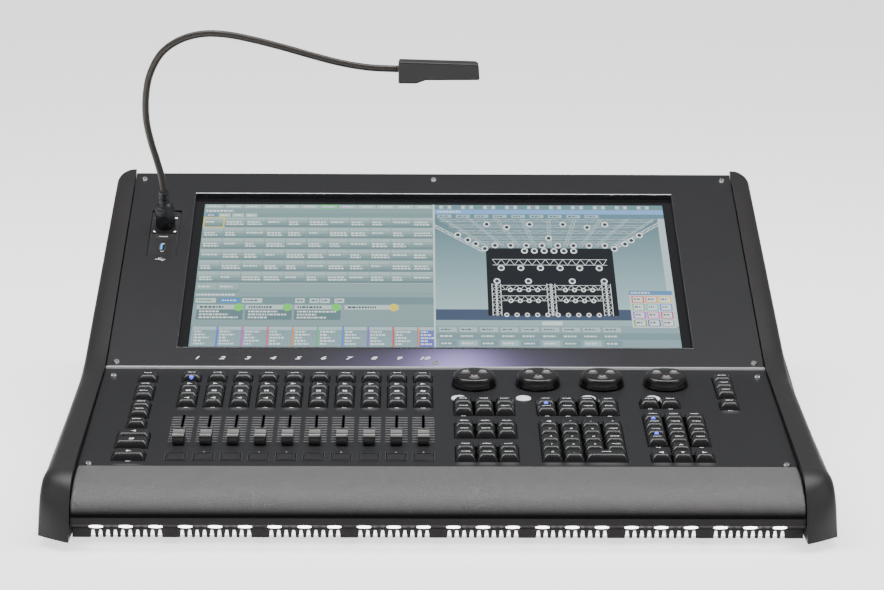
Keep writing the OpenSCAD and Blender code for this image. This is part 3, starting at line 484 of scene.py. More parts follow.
# ---------------------------------------------------------------- faders and wheels
CAP_HALF_W = 4.9
CAP_OUTLINE = [(-11, 1), (-11, 4.6), (-10.2, 8.2), (-9.2, 9.3), (-7.6, 9.7), (-5.6, 9.4), (-2.4, 8.5),
               (0, 8.2), (2.4, 8.5), (5.6, 9.4), (7.6, 9.7), (9.2, 9.3), (10.2, 8.2), (11, 4.6), (11, 1)]


def fader_cap(name, x):
    """A dished cap: silver over its outline's top stretch, black ends with a ridge each, on a stem."""
    cap = Shape()
    chamfer = ((-CAP_HALF_W - 0.3, 0.5), (-CAP_HALF_W, 0), (CAP_HALF_W, 0), (CAP_HALF_W + 0.3, 0.5))
    rings = [[(px, s * (1 - inset / 12), max(1, h - inset)) for s, h in CAP_OUTLINE] for px, inset in chamfer]
    m = len(CAP_OUTLINE)
    faces, marks = [], []
    for k in range(len(rings) - 1):
        for j in range(m):
            a, b = k * m + j, k * m + (j + 1) % m
            faces.append((a, b, b + m, a + m)[::-1])
            marks.append(1 if 2 <= j <= 11 else 0)
    faces += [tuple(range(m)), tuple(range(4 * m - 1, 3 * m - 1, -1))]
    cap.add([p for r in rings for p in r], faces)
    cap.marks = marks + [0, 0]
    for s0, s1, h in ((5.4, 7.4, 9.7), (-7.0, -5.2, 9.6)):
        cap.box((-4.95, s0, 8), (4.95, s1, h), 0)
    cap.flat(-4.8, -9.3, 4.8, -8.3, 9.75, 2)
    cap.box((-0.6, -2.5, -11), (0.6, 2.5, 1.2), 1)
    cap.points = [(a + x, b + FADER_S, c) for a, b, c in cap.points]
    cap.make(name + "_cap", name, [CAP_DARK, CAP, PRINT], LOWER, "cap", [name])


for i, x in enumerate(playback_x):
    fader_cap(f"fader_{i + 1}", x)

WHEEL_SIDES = 96
DIMPLE_AT, DIMPLE_R = 9.4, 5.2
dimples = [tuple(DIMPLE_AT * part for part in spin(math.radians(a))) for a in (30, 150, 270)]


def wheel_height(px, py):
    """The crowned top face, with a hollow at each dimple."""
    z = 11 - 0.5 * (math.hypot(px, py) / 17) ** 4
    for dx, dy in dimples:
        r = math.hypot(px - dx, py - dy) / DIMPLE_R
        if r < 1:
            z -= 2.0 * (1 - r * r) ** 0.6
    return z


def wheel(shape, x, s):
    """A finger wheel: a fine polar grid for the top face, then the rolled rim, the side and the sleeve."""
    radii = [0.01] + [0.7 * k for k in range(1, 24)] + [16.6, 17.3]
    rings = [[(px, py, wheel_height(px, py)) for px, py in circle(r, WHEEL_SIDES)] for r in radii]
    rim = ((18.2, 10.2), (19.0, 9.5), (19.5, 8.6), (20.2, 5), (20.9, 2.4), (21.2, 1.8), (21.2, 1.2),
           (20.8, 1))
    rings += [[(px, py, z) for px, py in circle(r, WHEEL_SIDES)] for r, z in rim]
    rings.reverse()
    first = len(shape.faces)
    shape.loft(rings, 0, (x, s, 0))
    for k in range(first, len(shape.faces)):
        if len(shape.faces[k]) == 4:
            cx = sum(shape.points[i][0] for i in shape.faces[k]) / 4 - x
            cy = sum(shape.points[i][1] for i in shape.faces[k]) / 4 - s
            if any(math.hypot(cx - dx, cy - dy) < DIMPLE_R - 0.3 for dx, dy in dimples):
                shape.marks[k] = 1
    shape.turned([(2.98, -11), (2.98, 2)], 0, (x, s, 0), 32)


for i, x in enumerate(wheel_x):
    knob = Shape()
    name = f"wheel_{i + 1}"
    wheel(knob, x, WHEEL_S)
    knob.make(name + "_knob", name, [WHEEL, DIMPLE], LOWER, "wheel", [name], 40)

# ---------------------------------------------------------------- cheeks and armrest
CHEEK_X, CHEEK_W = HALF_W + 0.8, 19.2
CHEEK_LOW = 8                       # height of the cheeks' lower edge
BLEND = 30                          # the bend's curve starts and stops this far from it


def upper_z(y):
    """Height of the screen plate's top at y."""
    return BEND_Z + (y - BEND_Y) * math.tan(UPPER_TILT)


def cubic(a, b, c, d, t):
    """A point on the curve from a to d with handles b and c."""
    return tuple((1 - t) ** 3 * p + 3 * (1 - t) ** 2 * t * q + 3 * (1 - t) * t * t * r + t ** 3 * u
                 for p, q, r, u in zip(a, b, c, d))


def cheek_outline(drop, back):
    """The cheek's side view, drawn in by drop: up the rear, along the top and round the nose."""
    top_z = upper_z(REAR_Y - REAR_OVER) + 3
    rise = math.tan(UPPER_TILT)
    rear = (REAR_Y - REAR_OVER - 1.4 * drop, top_z - 1.2 * drop)
    bend = (BEND_Y, BEND_Z + 3 - drop)
    front = (EDGE_Y - 12, EDGE_Z + 5.5 - drop)
    path = [(REAR_Y - drop, CHEEK_LOW + (top_z - 1.5 * drop - CHEEK_LOW) * k / 4) for k in range(5)]
    above = (bend[0] + BLEND, bend[1] + BLEND * rise)
    path += [(rear[0] + (above[0] - rear[0]) * k / 8, rear[1] + (above[1] - rear[1]) * k / 8)
             for k in range(9)]
    slope = (bend[1] - front[1]) / (bend[0] - front[0])
    below = (bend[0] - BLEND, bend[1] - BLEND * slope)
    handles = ((bend[0] + 10, bend[1] + 10 * rise), (bend[0] - 10, bend[1] - 10 * slope))
    path += [cubic(above, *handles, below, k / 6) for k in range(1, 6)]
    path += [(below[0] + (front[0] - below[0]) * k / 8, below[1] + (front[1] - below[1]) * k / 8)
             for k in range(9)]
    nose = ((EDGE_Y - 52 + drop, EDGE_Z + 6 - drop), (EDGE_Y - 60 + 0.8 * back, EDGE_Z - 22 - drop))
    path += [cubic(front, *nose, (EDGE_Y - NOSE + back, CHEEK_LOW), k / 20) for k in range(1, 21)]
    return path


def cheek_width(y):
    """The cheek's width at y: it widens a little to the front and flares round the nose."""
    flare = max(0, min(1, (EDGE_Y + 25 - y) / 80)) ** 1.3
    return CHEEK_W + 6 * (REAR_Y - y) / DEPTH + 4 * flare


def cheek(side):
    """A side moulding, lofted outwards through outlines that draw in over a quarter turn."""
    shape = Shape()
    stations = 22
    rings = []
    for k in range(stations + 1):
        angle = math.radians(90 * k / stations)
        share = math.sin(angle) ** 0.92
        drop = 11.5 * (1 - math.cos(angle)) ** 1.15
        outline = cheek_outline(drop, 22 * share ** 1.1)
        rings.append([(side * (CHEEK_X + share * cheek_width(y)), y, z) for y, z in outline])
    if side < 0:
        rings = [r[::-1] for r in rings]
    name = "right" if side > 0 else "left"
    shape.loft(rings)
    shape.make(name + "_cheek_moulding", "desk", [CHEEK], MM, "cheek", [name + "_cheek"], 55)


cheek(1)
cheek(-1)

REST_Y, BAR_TOP = EDGE_Y - 2, 28
REST_A, REST_B = 61, 28.4           # depth and height of the armrest's quarter-ellipse
PAD_T, PAD_ROUND = 8, 2.5


def rest_ring(x, shrink):
    """The pad's section at x: round its top, under its front lip and back along its inner face."""
    a, b = REST_A - shrink, REST_B - shrink
    ring = [(x, EDGE_Y + 0.1, BAR_TOP + b)]
    for k in range(25):
        c, s = spin(math.radians(90 * k / 24))
        ring.append((x, REST_Y - a * s, BAR_TOP + b * c))
    ring += [(x, REST_Y - a, BAR_TOP + 0.6), (x, REST_Y - a + 1.2, BAR_TOP)]
    for k in range(13):
        c, s = spin(math.radians(90 * (12 - k) / 12))
        ring.append((x, REST_Y - (REST_A - PAD_T) * s, BAR_TOP + (REST_B - PAD_T) * c))
    ring.append((x, EDGE_Y + 0.1, BAR_TOP + REST_B - PAD_T))
    return ring


pad = Shape()
ends = []
for k in range(7):
    c, s = spin(math.radians(90 * k / 6))
    ends.append((HALF_W - PAD_ROUND + PAD_ROUND * c, PAD_ROUND * (1 - s)))
middle = [(-HALF_W + PAD_ROUND + 2 * (HALF_W - PAD_ROUND) * k / 60, 0) for k in range(1, 60)]
stations = [(-x, d) for x, d in ends] + middle + ends[::-1]
pad.loft([rest_ring(x, d)[::-1] for x, d in stations])
rest = pad.make("armrest_leather", "desk", [LEATHER], MM, "leather", ["armrest_pad"], 60)

# ---------------------------------------------------------------- lamp
neck_points = [(-276.6, 41), (-278, 56), (-282, 76), (-287, 98), (-290.5, 122), (-290, 148), (-285, 174),
               (-273, 198), (-255, 213), (-233, 220.5), (-209, 220.5), (-182, 215), (-152, 206.5),
               (-122, 197), (-94, 189), (-66, 184), (-37, 182.5)]
NECK_R, WAVE, WAVE_PITCH = 3.45, 0.2, 2.25
RING_GAP = 0.45                     # spacing of the rings that carry the neck's ribs


def neck_at(i, t):
    """A smooth curve through the neck's points, as (x, z) on the screen plate."""
    a, b, c, d = (neck_points[max(0, min(len(neck_points) - 1, j))] for j in (i - 1, i, i + 1, i + 2))
    return tuple(0.5 * (2 * q + (r - p) * t + (2 * p - 5 * q + 4 * r - u) * t * t
                        + (3 * q - p - 3 * r + u) * t ** 3) for p, q, r, u in zip(a, b, c, d))


def gooseneck():
    """A ribbed tube along the curve."""
    fine = [neck_at(i, k / 60) for i in range(len(neck_points) - 1) for k in range(60)] + [neck_points[-1]]
    rings, walked = [], 0.0
    for k, (x, z) in enumerate(fine):
        if k:
            walked += math.dist(fine[k], fine[k - 1])
        if walked >= len(rings) * RING_GAP or k == len(fine) - 1:
            a, b = fine[max(0, k - 1)], fine[min(len(fine) - 1, k + 1)]
            length = math.dist(a, b)
            dx, dz = (b[0] - a[0]) / length, (b[1] - a[1]) / length
            radius = NECK_R + WAVE * math.cos(2 * math.pi * walked / WAVE_PITCH)
            rings.append([(x - dz * c, PLUG_S + s, z + dx * c) for c, s in circle(radius, 20)][::-1])
    neck = Shape()
    neck.loft(rings)
    neck.make("gooseneck_tube", "gooseneck", [NECK], UPPER, "neck", ["gooseneck"], 80)


gooseneck()

# ---------------------------------------------------------------- print and small details on the plates
prints = Shape()


def label(x, s):
    """A short bright line, printed in front of a key."""
    prints.flat(x - 2, s, x + 2, s + 0.9, PRINT_Z, 0)


for x in playback_x:
    for k in range(11):
        s = 60 + 6 * k
        for x0, x1 in ((x - 10, x - 1.6), (x + 1.6, x + 10)):
            prints.flat(x0, s - 0.28, x1, s + 0.28, PRINT_Z, 1)
    label(x, 144.9)
label(MASTER_X, 11.5)
label(PAGE_X, 140.4)
label(OBJECT_X, 124.8)
for i in range(4):
    label(NUMBER_X + PITCH * i, 124.6)
for i, s in ((0, 143.8), (1, 143.8), (0, 47.2), (2, 47.2)):
    label(FUNCTION_X + PITCH * i, s)
prints.make("plate_print", "desk", [PRINT, TICKS], LOWER)
numbers = Shape()
for i, x in enumerate(playback_x):
    stroke(numbers, str(i + 1), 6.6, x + 1, 16.8, PRINT_Z, 0, 0.32, 1.5, 0.24)
numbers.make("plate_numbers", "desk", [PRINT], UPPER)

# painted lavender light: a glowing film spread along the plate below the screen
LAVENDER = (0.46, 0.38, 0.84)
SPILL_TILE, SPILL_STEP = 2, 2.05
spill = Shape()
for i in range(180):
    x0 = -180 + SPILL_TILE * i
    near = math.exp(-((x0 - 20) / 36) ** 2) + 0.34 * math.exp(-((x0 - 12) / 90) ** 2)
    for k in range(16):
        s0, s1 = 0.3 + SPILL_STEP * k, 0.3 + SPILL_STEP * (k + 1)
        level = near * (0.30 + 0.70 * (1 - (s0 + s1) / 66) ** 0.8)
        spill.flat(x0, s0, x0 + SPILL_TILE, s1, FILM_Z, 0, tuple(part * level for part in LAVENDER))
spill.make("plate_painted_lavender_light", "desk", [PAINTED_PLATE_LIGHT], UPPER)

# painted light: a soft glowing sheen on the plate in front of each key, as (x, front edge, width)
fronts = [(x, 145.5, 17) for x in playback_x] + [(MASTER_X, 5.6, 27), (PAGE_X, 140.5, 17)]
fronts += [(x, 10.6, 17) for x in [OBJECT_X + PITCH * i for i in range(3)] + [NUMBER_X, NUMBER_X + PITCH]]
fronts += [(NUMBER_X + 2.5 * PITCH, 10.6, 36)] + [(FUNCTION_X + PITCH * i, 10.6, 17) for i in range(3)]
sheen = Shape()
for x, s, w in fronts:
    deep = min(1.8, (s - 0.4) / 5)
    for i in range(12):
        across = 1 - abs((i + 0.5) / 6 - 1) ** 3
        x0, x1 = x - w / 2 + w * i / 12, x - w / 2 + w * (i + 1) / 12
        for k in range(5):
            level = 0.11 * across * (1 - (k + 0.5) / 5)
            color = (level, level, level * 1.04)
            sheen.flat(x0, s - deep * (k + 1), x1, s - deep * k, FILM_Z - 0.005, 0, color)
sheen.make("key_painted_sheen", "desk", [PAINTED_PLATE_LIGHT], LOWER)

gasket = Shape()
for x0, x1, y0, y1 in ((-250, 250, 34, 43.4), (-250, 250, 311.6, 326), (-250, -239, 43.4, 311.6),
                       (239, 250, 43.4, 311.6)):
    gasket.flat(x0 + 1, y0, x1 - 1, y1, GLASS_Z)
gasket.make("screen_surround", "desk", [GLASS], UPPER, "glass")

socket = Shape()
for dx, ds in ((-10.3, 13.2), (10.3, 13.2), (-10.3, -13.2), (10.3, -13.2)):
    socket.turned([(1.9, -0.25), (1.9, 0.3), (1.3, 0.75), (0.6, 0.85)], 0, (PLUG_X + dx, PLUG_S + ds, 0), 20)
for ds in (-50.5, -36.5):
    socket.flat(PLUG_X - 1.6, PLUG_S + ds, PLUG_X + 1.6, PLUG_S + ds + 1, SOCKET_Z, 1)
scribble(socket, PLUG_X, 240.5, SOCKET_Z, 9, 1.5, 5, 1)
socket.flat(PLUG_X - 2.2, 216.6, PLUG_X - 0.2, 227.4, -1.6, 2)
for x0, y0, x1, y1 in ((-5.6, 194.4, 4.6, 195.3), (-2.6, 195.3, -2.0, 197.2), (-2.6, 197.0, 1.0, 197.6),
                       (0.4, 192.6, 1.0, 194.5), (0.4, 192.2, 3.4, 192.8)):
    socket.flat(PLUG_X + x0, y0, PLUG_X + x1, y1, PRINT_Z, 1)
socket.make("socket_details", "desk", [SCREW, PRINT, USB_BLUE], UPPER)

# ---------------------------------------------------------------- screen picture
SCREEN_W, SCREEN_H, SCREEN_S = 478, 268, 43.5
FACE_Z, LAYER = GLASS_Z + 0.01, 0.03      # the lowest layer of the picture, and the step between layers


def tone(r, g, b):
    """Linear colour from 0-255 display values."""
    return tuple((v / 255 / 12.92) if v <= 10 else ((v / 255 + 0.055) / 1.055) ** 2.4 for v in (r, g, b))


class Picture(Shape):
    """Flat coloured shapes on the screen: u is a share of its width, and v of its height, downwards."""

    def place(self, u, v, layer):
        return -SCREEN_W / 2 + SCREEN_W * u, SCREEN_S + SCREEN_H * (1 - v), FACE_Z + LAYER * layer

    def rect(self, u0, v0, u1, v1, color, layer=1):
        x0, y0, z = self.place(u0, v1, layer)
        x1, y1, z = self.place(u1, v0, layer)
        self.flat(x0, y0, x1, y1, z, 0, tone(*color))

    def edge(self, u0, v0, u1, v1, color, layer=2, t=0.0022):
        """The outline of a rectangle."""
        w = t * SCREEN_H / SCREEN_W
        self.rect(u0, v0, u1, v0 + t, color, layer)
        self.rect(u0, v1 - t, u1, v1, color, layer)
        self.rect(u0, v0, u0 + w, v1, color, layer)
        self.rect(u1 - w, v0, u1, v1, color, layer)

    def words(self, u, v, width, color, seed, layer=3, height=0.008):
        """A row of dashes in place of words."""
        at, k = u, seed
        while at < u + width:
            k = (k * 29 + 17) % 97
            step = 0.003 + 0.004 * (k % 4) / 3
            self.rect(at, v, min(at + step, u + width), v + height, color, layer)
            at += step + 0.0018

    def line(self, points, width, color, layer=4):
        for start, stop in zip(points, points[1:]):
            x0, y0, z = self.place(*start, layer)
            x1, y1, z = self.place(*stop, layer)
            n = math.dist((x0, y0), (x1, y1)) or 1
            dx, dy = -(y1 - y0) / n * width / 2, (x1 - x0) / n * width / 2
            corners = [(x0 - dx, y0 - dy, z), (x1 - dx, y1 - dy, z),
                       (x1 + dx, y1 + dy, z), (x0 + dx, y0 + dy, z)]
            self.add(corners, [(0, 1, 2, 3)], color=tone(*color))

    def dot(self, u, v, r, color, layer=5):
        """An upright ellipse."""
        x, y, z = self.place(u, v, layer)
        rim = [(x + px, y + 1.5 * py, z) for px, py in circle(r, 14)]
        self.add(rim, [tuple(range(14))], color=tone(*color))

    def area(self, corners, color, layer):
        self.add([self.place(u, v, layer) for u, v in corners], [(3, 2, 1, 0)], color=tone(*color))

    def truss(self, u0, v0, u1, v1, depth=0.016, color=(190, 210, 215), n=12):
        """Two lines with a zigzag between them."""
        along = (u1 - u0, v1 - v0)
        steep = abs(along[1]) * SCREEN_H > abs(along[0]) * SCREEN_W
        du, dv = (depth * SCREEN_H / SCREEN_W, 0) if steep else (0, depth)
        self.line([(u0, v0), (u1, v1)], 0.7, color)
        self.line([(u0 + du, v0 + dv), (u1 + du, v1 + dv)], 0.7, color)
        self.line([(u0 + along[0] * k / n + du * (k % 2), v0 + along[1] * k / n + dv * (k % 2))
                   for k in range(n + 1)], 0.5, color)


ui = Picture()
WORDS = (236, 244, 242)
ui.rect(0, 0, 1, 1, (122, 152, 154), 0)
# left half: tabs, tool pills, a grid of named cells, cards and the playback bar
for k in range(12):
    ui.rect(0.002 + 0.0415 * k, 0.004, 0.0415 + 0.0415 * k, 0.030, (168, 192, 192), 2)
    ui.words(0.010 + 0.0415 * k, 0.012, 0.024, WORDS, k + 3)
ui.edge(0.25, 0.002, 0.291, 0.032, (90, 214, 96), 4, 0.005)
ui.rect(0, 0.034, 0.498, 0.066, (130, 158, 161))
ui.words(0.004, 0.044, 0.06, WORDS, 5, 3, 0.012)
for k in range(4):
    pill = (90, 136, 168) if k == 0 else (186, 208, 206)
    ui.rect(0.004 + 0.029 * k, 0.070, 0.029 + 0.029 * k, 0.094, pill, 2)
    ui.words(0.009 + 0.029 * k, 0.078, 0.014, WORDS, 2 * k + 1)
shades = ((166, 190, 189), (146, 172, 172), (124, 152, 154), (106, 135, 139))
for row in range(6):
    for col in range(11):
        u, v = 0.002 + 0.0451 * col, 0.098 + 0.0796 * row
        for k, shade in enumerate(shades):
            ui.rect(u, v + 0.019 * k, u + 0.0437, v + 0.019 * (k + 1), shade, 1)
        ui.rect(u, v + 0.0755, u + 0.0437, v + 0.0785, (200, 216, 214), 2)
        wide = 0.018 + 0.016 * ((row * 5 + col * 3) % 4) / 3
        ui.words(u + 0.004, v + 0.030, wide, WORDS, row * 11 + col, 3, 0.010)
        if (row + col) % 3:
            ui.words(u + 0.004, v + 0.047, wide + 0.004, WORDS, row * 7 + col * 5, 3, 0.010)
ui.edge(0.001, 0.097, 0.047, 0.174, (232, 214, 70), 4, 0.005)
for col in range(2):
    ui.rect(0.002 + 0.0451 * col, 0.577, 0.0457 + 0.0451 * col, 0.618, (150, 176, 176))
    ui.words(0.006 + 0.0451 * col, 0.592, 0.026, WORDS, col + 41, 3, 0.010)
ui.rect(0.092, 0.577, 0.498, 0.636, (140, 166, 168))
ui.rect(0, 0.640, 0.498, 0.666, (132, 160, 166))
ui.words(0.004, 0.648, 0.08, WORDS, 9, height=0.011)
ui.rect(0, 0.668, 0.498, 0.716, (112, 142, 146))
for k, u in enumerate((0.004, 0.054, 0.10, 0.21, 0.24, 0.262, 0.292)):
    ui.rect(u, 0.677, u + (0.042 if k < 3 else 0.02), 0.708, (70, 140, 206) if k == 1 else (196, 214, 214), 2)
    ui.words(u + 0.004, 0.688, 0.030 if k < 3 else 0.012, WORDS if k == 1 else (70, 92, 98), k + 21)
ui.rect(0, 0.718, 0.498, 0.862, (132, 160, 163))
for k in range(3):
    u = 0.008 + 0.1008 * k
    ui.rect(u, 0.722, u + 0.096, 0.752, (192, 210, 209), 2)
    ui.words(u + 0.006, 0.731, 0.05, (60, 84, 88), k + 31, height=0.012)
    ui.rect(u, 0.754, u + 0.096, 0.822, (98, 126, 131), 2)
    for j in range(3):
        ui.words(u + 0.006, 0.762 + 0.02 * j, 0.04 + 0.02 * ((j + k) % 3), WORDS, 5 * k + j, height=0.010)
    ui.dot(u + 0.086, 0.738, 4.6, (104, 222, 96), 4)
ui.rect(0.313, 0.722, 0.425, 0.752, (192, 210, 209), 2)
ui.words(0.32, 0.731, 0.06, (60, 84, 88), 77, height=0.012)
ui.dot(0.415, 0.738, 4.6, (236, 216, 80), 4)
ui.rect(0, 0.864, 0.498, 1, (112, 142, 150))
bars = ((150, 170, 180), (70, 120, 232), (208, 76, 190), (232, 96, 120), (240, 150, 60), (90, 204, 110),
        (74, 130, 236), (140, 90, 214), (232, 76, 70), (240, 150, 70))
for k, bar in enumerate(bars):
    u = 0.003 + 0.0513 * k
    u1 = min(0.497, u + 0.050)
    ui.rect(u, 0.868, u1, 0.890, (176, 198, 202), 2)
    ui.rect(u, 0.890, u1, 0.998, (144, 172, 178) if k < 9 else (104, 100, 214), 1)
    ui.rect(u, 0.868, u + 0.003, 0.998, bar, 3)
    for j in range(5):
        wide = 0.014 + 0.016 * ((j + k) % 3) / 2
        ui.words(u + 0.006, 0.896 + 0.02 * j, wide, WORDS, 3 * k + j, height=0.010)
ui.rect(0.4975, 0, 0.5015, 1, (206, 220, 222), 5)
# right half: tool icons, title bar, a drawn stage and a colour palette
ui.rect(0.502, 0, 1, 0.035, (104, 140, 148))
for k in range(10):
    ui.rect(0.512 + 0.048 * k, 0.006, 0.538 + 0.048 * k, 0.029, (206, 222, 222), 2)
    ui.dot(0.525 + 0.048 * k, 0.018, 2.8, (120, 150, 156), 3)
ui.rect(0.502, 0.035, 1, 0.068, (126, 176, 228))
ui.words(0.508, 0.046, 0.05, WORDS, 61, 3, 0.011)
ui.rect(0.502, 0.068, 1, 0.100, (96, 136, 152))
for k in range(9):
    ui.rect(0.508 + 0.040 * k, 0.074, 0.538 + 0.040 * k, 0.096, (170, 196, 202), 2)
    ui.words(0.512 + 0.040 * k, 0.081, 0.018, (70, 100, 112), k + 81)
bands = 30
for k in range(bands):
    t = k / (bands - 1)
    shade = [a + (b - a) * t for a, b in zip((93, 127, 136), (172, 202, 206))]
    ui.rect(0.502, 0.100 + 0.72 * k / bands, 0.985, 0.100 + 0.72 * (k + 1) / bands, shade, 1)
ui.rect(0.502, 0.748, 0.985, 0.820, (66, 82, 106), 2)
ui.area(((0.502, 0.100), (0.985, 0.100), (0.88, 0.32), (0.61, 0.32)), (112, 140, 148), 2)
ui.area(((0.61, 0.32), (0.88, 0.32), (0.88, 0.79), (0.61, 0.79)), (13, 20, 28), 3)
LIGHT = (238, 246, 246)
for v, inset in ((0.108, 0.006), (0.150, 0.026), (0.192, 0.046), (0.236, 0.066), (0.272, 0.084)):
    ui.truss(0.506 + inset, v, 0.981 - inset, v, 0.018, (188, 206, 210), 30)
for k in range(9):
    u, goal = 0.515 + 0.0575 * k, 0.614 + 0.0325 * k
    ui.truss(u, 0.102, goal, 0.312, 0.012, (170, 192, 198), 16)
ui.truss(0.502, 0.150, 0.604, 0.330, 0.020, LIGHT, 16)
ui.truss(0.985, 0.150, 0.884, 0.330, -0.020, LIGHT, 16)
ui.truss(0.623, 0.400, 0.866, 0.400, 0.040, LIGHT, 26)
for u0, u1 in ((0.620, 0.640), (0.735, 0.754), (0.850, 0.870)):
    for u in (u0, u1 - 0.012):
        ui.truss(u, 0.572, u, 0.790, 0.018, LIGHT, 12)
for u0, u1 in ((0.640, 0.735), (0.754, 0.850)):
    ui.truss(u0, 0.583, u1, 0.583, 0.030, LIGHT, 12)
    ui.truss(u0, 0.655, u1, 0.655, 0.034, LIGHT, 12)
# stage lights along the bars
spots = [(u, 0.145) for u in (0.614, 0.707, 0.779, 0.870)] + [(0.657, 0.167), (0.831, 0.167), (0.746, 0.247)]
spots += [(0.551, 0.224), (0.572, 0.261), (0.589, 0.288), (0.608, 0.323)]
spots += [(0.942, 0.224), (0.923, 0.261), (0.909, 0.288), (0.885, 0.323)]
spots += [(0.630 + 0.0336 * k, 0.300) for k in range(8)] + [(0.6925 + 0.021 * k, 0.339) for k in range(6)]
spots += [(0.641 + 0.0415 * k, 0.462) for k in range(6)] + [(u, 0.554) for u in (0.631, 0.697, 0.789, 0.856)]
spots += [(u + 0.019 * k, v) for u in (0.658, 0.773) for v in (0.615, 0.690) for k in range(4)]
spots += [(0.648 + 0.0212 * k, 0.785) for k in range(10)]
for k, (u, v) in enumerate(spots):
    ui.dot(u, v, 3.5 if v < 0.6 else 2.5, (250, 252, 252), 6)
    ui.dot(u, v, 2.1 if v < 0.6 else 1.3, (46, 62, 72), 7)
ui.rect(0.985, 0.100, 1, 0.860, (188, 208, 212), 2)
ui.rect(0.502, 0.822, 0.985, 0.860, (152, 180, 186), 2)
ui.rect(0.72, 0.828, 0.762, 0.854, (214, 228, 230), 3)
ui.rect(0.502, 0.862, 1, 0.905, (138, 166, 170), 2)
ui.rect(0.502, 0.907, 1, 0.948, (120, 148, 154), 2)
ui.rect(0.502, 0.950, 1, 1, (136, 164, 170), 2)
for k in range(9):
    ui.rect(0.508 + 0.042 * k, 0.868, 0.544 + 0.042 * k, 0.899, (176, 198, 202), 3)
    ui.words(0.512 + 0.042 * k, 0.879, 0.022, (70, 96, 104), k + 91, 4)
    ui.words(0.510 + 0.042 * k, 0.922, 0.026, WORDS, k + 31, 3, 0.010)
    shade = (164, 190, 194) if k % 2 else (118, 148, 156)
    ui.rect(0.508 + 0.042 * k, 0.956, 0.544 + 0.042 * k, 0.992, shade, 3)
    ui.words(0.512 + 0.042 * k, 0.970, 0.022, WORDS, k + 51, 4, 0.010)
ui.rect(0.905, 0.620, 0.995, 0.870, (206, 218, 220), 8)
ui.rect(0.905, 0.620, 0.995, 0.648, (92, 140, 190), 9)
ui.words(0.909, 0.628, 0.04, WORDS, 17, 10, 0.010)
palette = ((226, 90, 90), (236, 160, 70), (232, 214, 80), (110, 200, 110), (90, 200, 200), (90, 140, 230),
           (150, 100, 220), (220, 100, 190), (200, 90, 110), (130, 170, 90), (90, 120, 170), (170, 170, 180))
for k, paint in enumerate(palette):
    u, v = 0.909 + 0.0285 * (k % 3), 0.656 + 0.053 * (k // 3)
    ui.rect(u, v, u + 0.026, v + 0.046, paint, 9)
    ui.rect(u + 0.003, v + 0.005, u + 0.023, v + 0.041, (222, 232, 232), 10)
    ui.words(u + 0.005, v + 0.016, 0.012, (80, 100, 110), k + 5, 11, 0.010)
ui.make("screen_image", "desk", [SCREEN], UPPER)

# ---------------------------------------------------------------- the CAD pieces
finishes = (
    ("base_pan", SHEET, 0.3), ("front_vent_strip", BAR, 0.25), ("light_bar", BAR, 0.4),
    ("rear_panel", SHEET, 0.25), ("side_frames", SHEET, 0), ("screen_plate", PANEL, 0),
    ("control_plate", PANEL, 0), ("seam_strip", STRIP, 0.5), ("touch_glass", GLASS, 0),
    ("lcd_module", MODULE, 0.6), ("armrest_core", CORE, 0), ("socket_plate", SOCKET, 0.3),
    ("usb_port", CAN, 0), ("plate_screws", SCREW, 0.15), ("feet", RUBBER, 0.4), ("key_board", BOARD, 0),
    ("fader_bodies", BOARD, 0.2), ("encoder_bodies", BOARD, 0.2), ("main_board", BOARD, 0.2),
    ("power_supply", CAN, 0.4),
    ("xlr_outputs", SOCKET, 0.25), ("data_ports", CAN, 0.15), ("power_inlet", SOCKET, 0.4),
    ("power_switch", SOCKET, 0.4), ("fan_frame", FAN, 0.4), ("fan_rotor", FAN, 0.3), ("lamp_plug", LAMP, 0.3),
    ("lamp_lens", LENS, 0.3))
for node, finish, bevel in finishes:
    dress(node, finish, bevel=bevel)
dress("lamp_head", LAMP, bevel=2.6, segments=4)

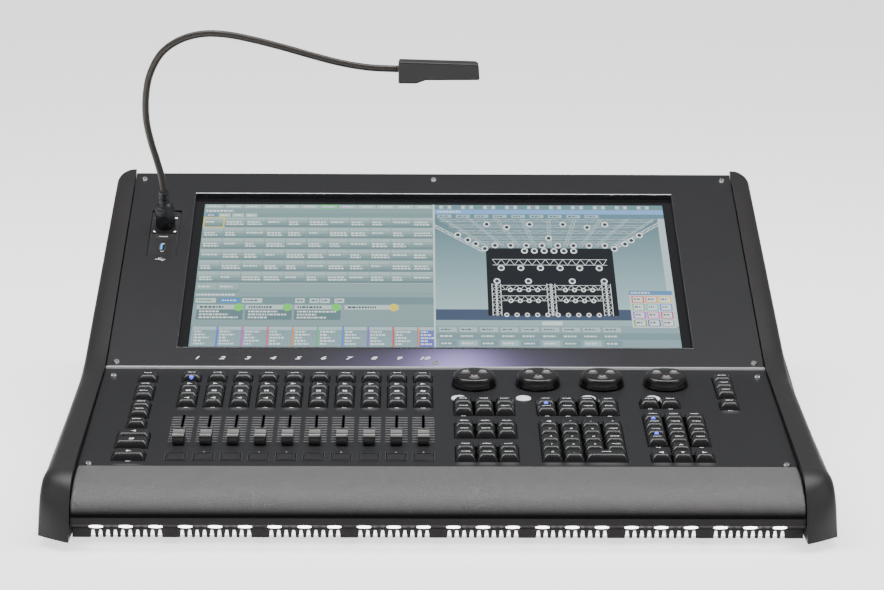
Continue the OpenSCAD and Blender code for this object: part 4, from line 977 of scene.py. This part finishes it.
# the upper lip of the screen's trim gets a painted highlight: its top faces that point up take a glowing white
# material
TRIM_TOP = 322
trim = dress("screen_trim", TRIM, LIP_HIGHLIGHT, bevel=0.25)
for polygon in trim.data.polygons:
    spot = trim.matrix_world @ polygon.center * 1000
    up_slope = (spot.y - BEND_Y) * math.cos(UPPER_TILT) + (spot.z - BEND_Z) * math.sin(UPPER_TILT)
    if up_slope > TRIM_TOP and polygon.normal.z > 0.8:
        polygon.material_index = 1

# a glowing strip behind the vent slots, painted light in place of the bright floor seen through them, is on the
# same node as the lamps' lenses, further back
SLOT_GLOW_Y = EDGE_Y - 46
lenses = dress("led_lenses", LED, SLOT_GLOW, bevel=0.25)
for polygon in lenses.data.polygons:
    if (lenses.matrix_world @ polygon.center).y * 1000 > SLOT_GLOW_Y:
        polygon.material_index = 1

# ---------------------------------------------------------------- floor and light
FLOOR_HALF = 30                     # in metres
floor_mesh = bpy.data.meshes.new("floor")
floor_corners = [(x * FLOOR_HALF, y * FLOOR_HALF, 0) for x, y in ((-1, -1), (1, -1), (1, 1), (-1, 1))]
floor_mesh.from_pydata(floor_corners, [], [(0, 1, 2, 3)])
floor_mesh.materials.append(FLOOR)
floor = bpy.data.objects.new("floor", floor_mesh)
bpy.context.scene.collection.objects.link(floor)

world = bpy.data.worlds.new("studio")
world.use_nodes = True
world.node_tree.nodes["Background"].inputs["Color"].default_value = (0.97, 0.98, 1.0, 1)
world.node_tree.nodes["Background"].inputs["Strength"].default_value = 0.3
bpy.context.scene.world = world


def soft_light(name, place, target, size, power):
    """A rectangular area light at place that looks at target; sizes are in metres and watts."""
    data = bpy.data.lights.new(name, "AREA")
    data.shape = "RECTANGLE"
    data.size, data.size_y = size
    data.energy = power
    data.spread = math.radians(180)
    obj = bpy.data.objects.new(name, data)
    obj.location = place
    obj.rotation_mode = "QUATERNION"
    obj.rotation_quaternion = (Vector(target) - Vector(place)).to_track_quat("-Z", "Y")
    bpy.context.scene.collection.objects.link(obj)


soft_light("overhead", (0, 0.12, 1.9), (0, -0.05, 0), (2.6, 0.9), 62)
soft_light("left_soft", (-2.0, -0.9, 1.4), (0, 0, 0.1), (1.2, 1.2), 8)
soft_light("right_soft", (2.0, -0.9, 1.4), (0, 0, 0.1), (1.2, 1.2), 8)
